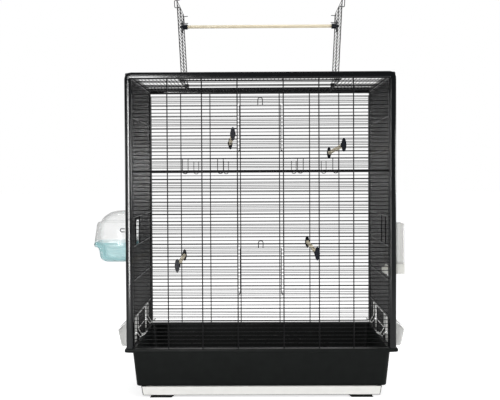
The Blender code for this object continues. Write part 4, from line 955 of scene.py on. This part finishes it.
piece("roof_perch_dowel", [ovals(ends, (0, 0, height), "X")], ("wood_across", "wood"),
      "roof_perch", angle=CREASE)
print("roof perch from", round(low.x, 4), "to", round(high.x, 4))

# %% [markdown]
# ## Bath
# The bath hangs on the left opening. Its hood is a thin clear shell: upright walls that
# lean in a little, a shoulder, and a domed top that is set back from it. Its sections
# follow the outside and come back inside, a wall's thickness away.

# %% Make the bath
HOOD_WALL, LIP_GAP = 0.0016, 0.0003
low, high, middle = box_of("bath_dome")
BATH_Y, reach, rim = middle.y, -SIDE_FACE - low.x, low.z


def hung(sections, reach, wall_x, centre_y, steps=6):
    """Skin over sections that stand out from a wall: each (height, gap at the wall,
    shortfall of the reach at the far side, half depth, corner radius)."""
    rings = []
    side = 1 if wall_x > 0 else -1
    for z, near, short, deep, radius in sections:
        far = reach - short
        middle = (wall_x + side * (near + far) / 2, centre_y)
        rings.append([(x, y, z) for x, y in
                      rounded((far - near) / 2, deep, radius, steps, middle)])
    return skin_of(rings)


def shell(outer, wall, inner_end):
    """Follow the outside from its end to the rim, then the inside back to its end."""
    inner = [(z, near + wall, short + wall, deep - wall, max(radius - wall, radius / 2))
             for z, near, short, deep, radius in outer]
    inner[-1] = (inner_end, *inner[-1][1:])
    return inner[::-1] + outer


dome = [
    (rim, 0.0, 0.0, 0.066, 0.020), (rim + 0.0100, 0.0, 0.0008, 0.0655, 0.020),
    (0.5137, 0.0, 0.0072, 0.0625, 0.022), (0.5172, 0.0005, 0.0085, 0.0615, 0.023),
    (0.5193, 0.0015, 0.0112, 0.0595, 0.024), (0.5198, 0.003, 0.0160, 0.0560, 0.026),
    (0.5200, 0.004, 0.0180, 0.0545, 0.027), (0.5252, 0.0045, 0.0192, 0.0530, 0.027),
    (0.5333, 0.006, 0.0248, 0.0495, 0.028), (0.5410, 0.008, 0.0341, 0.0440, 0.028),
    (0.5482, 0.012, 0.0466, 0.0350, 0.025), (0.5515, 0.018, 0.0600, 0.0240, 0.018),
    (high.z, 0.026, 0.0740, 0.0120, 0.010),
]
skin = hung(shell(dome, HOOD_WALL, high.z - HOOD_WALL), reach, -SIDE_FACE, BATH_Y)
hood = piece("bath_hood", [skin], "clear", "bath_dome")
print("hood reach", round(reach, 4))

# %% [markdown]
# ### Basin
# The turquoise basin has a lip, a step inside and a small foot. Its inside isn't the
# outside made smaller, so both are written out: up the inside, over the lip, and down.

# %% Make the basin
lip, foot = rim - LIP_GAP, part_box("bath_basin")[0].z
outside = [
    (lip, 0.0, 0.0, 0.066, 0.020), (lip - 0.0008, 0.0, -0.0002, 0.0662, 0.020),
    (0.4440, 0.0, 0.0, 0.066, 0.020), (0.4425, 0.0006, 0.0015, 0.0652, 0.019),
    (0.4420, 0.003, 0.0075, 0.0620, 0.018), (0.4368, 0.004, 0.0128, 0.0600, 0.018),
    (0.4119, 0.010, 0.0153, 0.0560, 0.020), (0.4050, 0.013, 0.0185, 0.0535, 0.021),
    (0.4005, 0.017, 0.0235, 0.0500, 0.020), (0.3985, 0.020, 0.0270, 0.0470, 0.018),
    (foot, 0.024, 0.0320, 0.0430, 0.016),
]
inside = [
    (0.4010, 0.026, 0.034, 0.041, 0.014), (0.4030, 0.020, 0.0275, 0.046, 0.018),
    (0.4060, 0.016, 0.0225, 0.050, 0.019), (0.4128, 0.012, 0.0173, 0.0540, 0.018),
    (0.4300, 0.0075, 0.0155, 0.0570, 0.017), (0.4310, 0.0060, 0.0140, 0.0590, 0.017),
    (0.4425, 0.0050, 0.0100, 0.0600, 0.016), (0.4450, 0.0020, 0.0020, 0.0640, 0.018),
    (lip, 0.0018, 0.0018, 0.0642, 0.018),
]
skin = hung(inside + outside, reach, -SIDE_FACE, BATH_Y)
piece("bath_bowl", [skin], "basin", "bath_basin")
print("basin foot at", round(foot, 4))

# %% [markdown]
# ### The way into the bath
# The hood is open towards the cage, or no bird could get in. A plain boolean cuts that
# doorway: a rounded block stands in the wall, and what they share is taken away.

# %% Cut the doorway in the hood
WAY_INSET, WAY_LOW, WAY_HALF, WAY_CORNER, WAY_OUT = 0.0075, 0.465, 0.028, 0.010, 0.012
WAY_IN = -0.37


def cut(target, cutter_skin):
    cutter = added("cutter", mesh_of("cutter", *cutter_skin))
    modifier = target.modifiers.new("Doorway", "BOOLEAN")
    modifier.operation, modifier.object, modifier.solver = "DIFFERENCE", cutter, "EXACT"
    bpy.context.view_layer.update()
    graph = bpy.context.evaluated_depsgraph_get()
    result = bpy.data.meshes.new_from_object(target.evaluated_get(graph))
    target.modifiers.clear()
    target.data = result
    bpy.data.objects.remove(cutter, do_unlink=True)


sides = edges_of["bath"][0] + WAY_INSET, edges_of["bath"][1] - WAY_INSET
outline = rounded((sides[1] - sides[0]) / 2, WAY_HALF, WAY_CORNER, 6,
                  (sum(sides) / 2, WAY_LOW + WAY_HALF))
cut(hood, skin_of([[(x, y, z) for y, z in outline] for x in (-SIDE_FACE - WAY_OUT, WAY_IN)]))
print("hood faces after the cut", len(hood.data.polygons))

# %% [markdown]
# ### Hook and knob
# A grey wire clip bent like a C holds the hood to the bars, and a small grey knob at the
# rim lets a hand lift it off.

# %% Make the hook and the knob
CLIP_WIRE, CLIP_CORNER, CLIP_HALF, CLIP_BEND, KNOB_CREASE = 0.0015, 0.004, 0.002, 0.003, 45
low, high, middle = box_of("bath_hook")
back, top, bottom = low.x + CLIP_WIRE, high.z - CLIP_WIRE, low.z + CLIP_WIRE
bends = [(high.x, top), (low.x + CLIP_CORNER, top), (back, middle.z + CLIP_HALF),
         (back, middle.z - CLIP_HALF), (low.x + CLIP_CORNER, bottom), (high.x, bottom)]
path = curved([(x, middle.y, z) for x, z in bends], CLIP_BEND)
piece("bath_clip", [wire(path, CLIP_WIRE, sides=12)], "clip", "bath_hook")
low, high, middle = box_of("bath_knob")
knob = [(low.x, 0.0012), (low.x + 0.0004, 0.0026), (low.x + 0.0015, 0.0033),
        (low.x + 0.0045, 0.0034), (low.x + 0.0060, 0.0026), (high.x - 0.0015, 0.0024),
        (high.x, 0.0031)]
knob = [(x, radius, radius) for x, radius in knob]
piece("bath_lift_knob", [ovals(knob, (0, middle.y, middle.z), "X", 20)], "clip",
      "bath_knob", angle=KNOB_CREASE)
print("hook and knob made")

# %% [markdown]
# ## Silo
# The silo's tank is a flat milky box with rounded edges that feeds the trough below it. It
# is built as a shell like the hood, open at the bottom.

# %% Make the silo tank
TANK_WALL = 0.0018
low, high, middle = box_of("silo_tank")
wide, deep, silo_y = high.x - low.x, high.y - middle.y, middle.y
tank = [
    (low.z, 0.0, 0.0, deep, 0.005), (high.z - 0.0050, 0.0, 0.0, deep, 0.005),
    (high.z - 0.0022, 0.0006, 0.0006, deep - 0.0006, 0.005),
    (high.z - 0.0006, 0.0020, 0.0020, deep - 0.0020, 0.0045),
    (high.z, 0.0040, 0.0040, deep - 0.0040, 0.0035),
]
skin = hung(shell(tank, TANK_WALL, high.z - TANK_WALL), wide, low.x, silo_y, 5)
piece("silo_milky_tank", [skin], "silo", "silo_tank")
print("tank", round(wide, 4), "by", round(2 * deep, 4))

# %% [markdown]
# ## Seed cups and lids
# Each cup is an open moulding whose outer wall leans out and whose rim slopes down from
# the grille. It starts as a few flat faces; the edges are bevelled round, and a Solidify
# modifier gives the wall its thickness.

# %% Shape a cup
CUP_LOW, CUP_FOOT, CUP_OUT, CUP_OUTER_TOP = 0.148, 0.035, 0.0445, 0.196
CUP_INNER_TOP, CUP_SILL, CUP_HALF = 0.226, 0.172, 0.0455
CUP_WALL, CUP_EDGE = 0.0018, 0.005


def cup_mesh(name, side, centre):
    work = bmesh.new()

    def corners(reach, z):
        return [work.verts.new((side * (SIDE_FACE + reach), centre + y, z))
                for y in (-CUP_HALF, CUP_HALF)]

    near, foot = corners(0.0, CUP_LOW), corners(CUP_FOOT, CUP_LOW)
    outer = corners(CUP_OUT, CUP_OUTER_TOP)
    inner, sill = corners(0.0, CUP_INNER_TOP), corners(0.0, CUP_SILL)
    faces = [(near[0], near[1], foot[1], foot[0]), (foot[0], foot[1], outer[1], outer[0]),
             (near[0], sill[0], sill[1], near[1])]
    faces += [(near[k], foot[k], outer[k], inner[k], sill[k]) for k in (0, 1)]
    for face in faces:
        work.faces.new(face)
    bmesh.ops.recalc_face_normals(work, faces=work.faces)
    inside = Vector((side * (SIDE_FACE + CUP_FOOT / 2), centre, (CUP_LOW + CUP_OUTER_TOP) / 2))
    for face in work.faces:
        if face.normal.dot(face.calc_center_median() - inside) < 0:
            face.normal_flip()
    round_edges = [edge for edge in work.edges if len(edge.link_faces) == 2]
    bmesh.ops.bevel(work, geom=round_edges, offset=CUP_EDGE, segments=5, profile=0.5,
                    affect="EDGES")
    mesh = bpy.data.meshes.new(name)
    work.to_mesh(mesh)
    work.free()
    return mesh


CUPS = [(f"{end}_{side_name}", side, centre) for side_name, side in LEFT_RIGHT
        for end, centre in zip(("front", "back"), CUP_CENTRES)]


def make_cup(label, side, centre):
    name = f"cup_{label}_moulded"
    made = added(name, cup_mesh(name, side, centre))
    wall = made.modifiers.new("Wall", "SOLIDIFY")
    wall.thickness, wall.offset = CUP_WALL, -1.0
    dressed(made, "cup", f"cup_{label}")


print("cups to make", [label for label, side, centre in CUPS])

# %% [markdown]
# ### The lids
# A lid is a thin sheet, hinged along the grille. It bows up a little on its way to the
# cup's outer rim, where its corners are pinched in. Rings across it, each with its upper
# and lower face, are carried along the cup's slope.

# %% Shape a lid and make all four pairs
LID_SETBACK, LID_LENGTH, LID_STEPS = 0.0021, 0.0593, 12
LID_LIFT, LID_BOW, LID_UNDER, LID_FACE = 0.0004, 0.0050, 0.0002, 0.0016
LID_WIDER, LID_PINCH, PINCH_FROM = 0.0006, 0.0012, 0.85


def make_lid(label, side, centre):
    along = Vector((side * CUP_OUT, 0, CUP_OUTER_TOP - CUP_INNER_TOP)).normalized()
    out = Vector((-side * along.z, 0, side * along.x))
    start = Vector((side * SIDE_FACE, centre, CUP_INNER_TOP)) + along * LID_SETBACK
    rings = []
    for step in range(LID_STEPS + 1):
        t = step / LID_STEPS
        spot = start + along * LID_LENGTH * t + out * (LID_LIFT + LID_BOW * sin(pi * t))
        pinch = LID_PINCH * max(0.0, (t - PINCH_FROM) / (1 - PINCH_FROM))
        half = Vector((0, CUP_HALF + LID_WIDER - pinch, 0))
        under, face = spot + out * LID_UNDER, spot + out * LID_FACE
        rings.append([under - half, face - half, face + half, under + half][::side])
    piece(f"lid_{label}_bowed", [skin_of(rings)], "cup", f"lid_{label}", f"lid_{label}")


for label, side, centre in CUPS:
    make_cup(label, side, centre)
    make_lid(label, side, centre)
print("cups and lids made")

# %% [markdown]
# ## Bright perches at the cups
# A plated wire runs inside each side grille and dips into the cage below every cup port as
# a little seat. Each seat is one bent wire, down the grille, in, and up at the tip; the
# straight wires between them are welded on.

# %% Make the bright wires
SEAT_HALF, SEAT_TOP, SEAT_LOW, SEAT_LAYER = 0.0220, 0.234, 0.190, 0.3782
SEAT_BEND, SEAT_DIP, SEAT_TIP = (0.0, 0.1905), (0.0115, 0.1715), (0.0275, 0.1825)
SEAT_ROUND, THIN_WIRE, SEAT_SIDES = 0.005, SMALL_WIRE * 0.8, 10
for name, side in LEFT_RIGHT:
    skins = []
    for centre in CUP_CENTRES:
        half = [(0.0, SEAT_TOP), SEAT_BEND, SEAT_DIP, SEAT_TIP]
        near = [(side * (SEAT_LAYER - a), centre - SEAT_HALF, z) for a, z in half]
        far = [(side * (SEAT_LAYER - a), centre + SEAT_HALF, z) for a, z in reversed(half)]
        skins.append(wire(curved(near + far, SEAT_ROUND), SMALL_WIRE, sides=SEAT_SIDES))
        skins.append(wire([(side * (SEAT_LAYER - SEAT_DIP[0]), y, SEAT_DIP[1])
                           for y in (centre - SEAT_HALF, centre + SEAT_HALF)],
                          THIN_WIRE, sides=SEAT_SIDES))
    front, back = CUP_CENTRES
    for z, ends in ((SEAT_TOP, (front - SEAT_HALF, back + SEAT_HALF)),
                    (SEAT_LOW, (front + SEAT_HALF, back - SEAT_HALF))):
        skins.append(wire([(side * SEAT_LAYER, y, z) for y in ends], SMALL_WIRE,
                          sides=SEAT_SIDES))
    piece(f"cup_perches_{name}_bent", skins, "chrome", f"cup_perches_{name}")
    print(name, "bright wires", len(skins))

# %% [markdown]
# ## Background
# The photo is a shop picture, white all round. The world is white to the camera and
# through the clear plastics, and lights the cage more softly than it looks. Black lacquer
# mirrors the room on the photographer's side too, and a studio is dim there, so
# reflections towards the front meet a darker wall.

# %% Paint the room
ROOM_LIGHT, DIM_ROOM, TOWARDS_BACK = 0.36, 0.12, (0.6, 1.0)
bpy.context.scene.view_settings.view_transform = "Standard"
world = bpy.data.worlds.new("Studio")
bpy.context.scene.world = world
world.use_nodes = True
tree = world.node_tree
tree.nodes.clear()
rays = node(tree, "ShaderNodeLightPath").outputs
ray = node(tree, "ShaderNodeTexCoord").outputs["Generated"]
way = node(tree, "ShaderNodeSeparateXYZ", {0: ray}).outputs["Y"]
mirrored = ranged(tree, way, *TOWARDS_BACK, DIM_ROOM, 1.0)
unseen = ranged(tree, rays["Is Glossy Ray"], 0.0, 1.0, ROOM_LIGHT, mirrored)
seen = maths(tree, "MAXIMUM", rays["Is Camera Ray"], rays["Is Transmission Ray"])
level = ranged(tree, seen, 0.0, 1.0, unseen, 1.0)
room = node(tree, "ShaderNodeBackground", {"Color": (1, 1, 1, 1), "Strength": level})
linked(tree, (room.outputs[0], node(tree, "ShaderNodeOutputWorld").inputs[0]))
print("room nodes", len(tree.nodes))

# %% [markdown]
# ### Floor
# The floor is a plain white sheet that takes the cage's faint shadow. A little light that
# only the camera sees lifts it to the white of the background.

# %% Lay the floor
FLOOR_HALF, FLOOR_WHITE, FLOOR_LIFT = 30, (0.93, 0.93, 0.93, 1), 0.70
corners = [(x * FLOOR_HALF, y * FLOOR_HALF, 0) for x, y in
           ((-1, -1), (1, -1), (1, 1), (-1, 1))]
ground = added("Floor", mesh_of("Floor", corners, [(0, 1, 2, 3)]))
made = bpy.data.materials.new("White floor")
made.use_nodes = True
tree = made.node_tree
tree.nodes.clear()
rays = node(tree, "ShaderNodeLightPath").outputs
matt = node(tree, "ShaderNodeBsdfDiffuse", {"Color": FLOOR_WHITE})
lift = maths(tree, "MULTIPLY", rays["Is Camera Ray"], FLOOR_LIFT)
glow = node(tree, "ShaderNodeEmission", {"Strength": lift})
both = node(tree, "ShaderNodeAddShader", {0: matt.outputs[0], 1: glow.outputs[0]})
linked(tree, (both.outputs[0], node(tree, "ShaderNodeOutputMaterial").inputs[0]))
ground.data.materials.append(made)
print("floor", 2 * FLOOR_HALF, "m wide")

# %% [markdown]
# ### Lamps
# A tall narrow lamp draws the line down the left post. One on each side, near the camera's
# height, glints on the upright bars of the side grilles, and a large one hangs above.

# %% Hang the lamps
def lamp(name, spot, target, size, power):
    data = bpy.data.lights.new(name, "AREA")
    data.shape, data.size, data.size_y, data.energy = "RECTANGLE", *size, power
    made = added(name, data)
    made.location = spot
    made.rotation_euler = (Vector(target) - Vector(spot)).to_track_quat("-Z", "Y").to_euler()
    made.visible_camera = False


LAMPS = (  # name, place, aim, size in metres, watts
    ("Tall strip", (-0.68, -2.9, 0.57), (-0.3, 0.0, 0.60), (0.12, 1.20), 26.0),
    ("Right glint", (2.8, -1.1, 0.72), (-0.38, 0.0, 0.70), (0.9, 0.35), 42.0),
    ("Left glint", (-2.8, -1.0, 0.72), (0.38, 0.0, 0.70), (0.8, 0.35), 8.0),
    ("Overhead", (0.0, -0.3, 3.0), (0.0, 0.0, 0.55), (2.0, 0.6), 28.0),
)
for row in LAMPS:
    lamp(*row)
print("lamps", [row[0] for row in LAMPS])
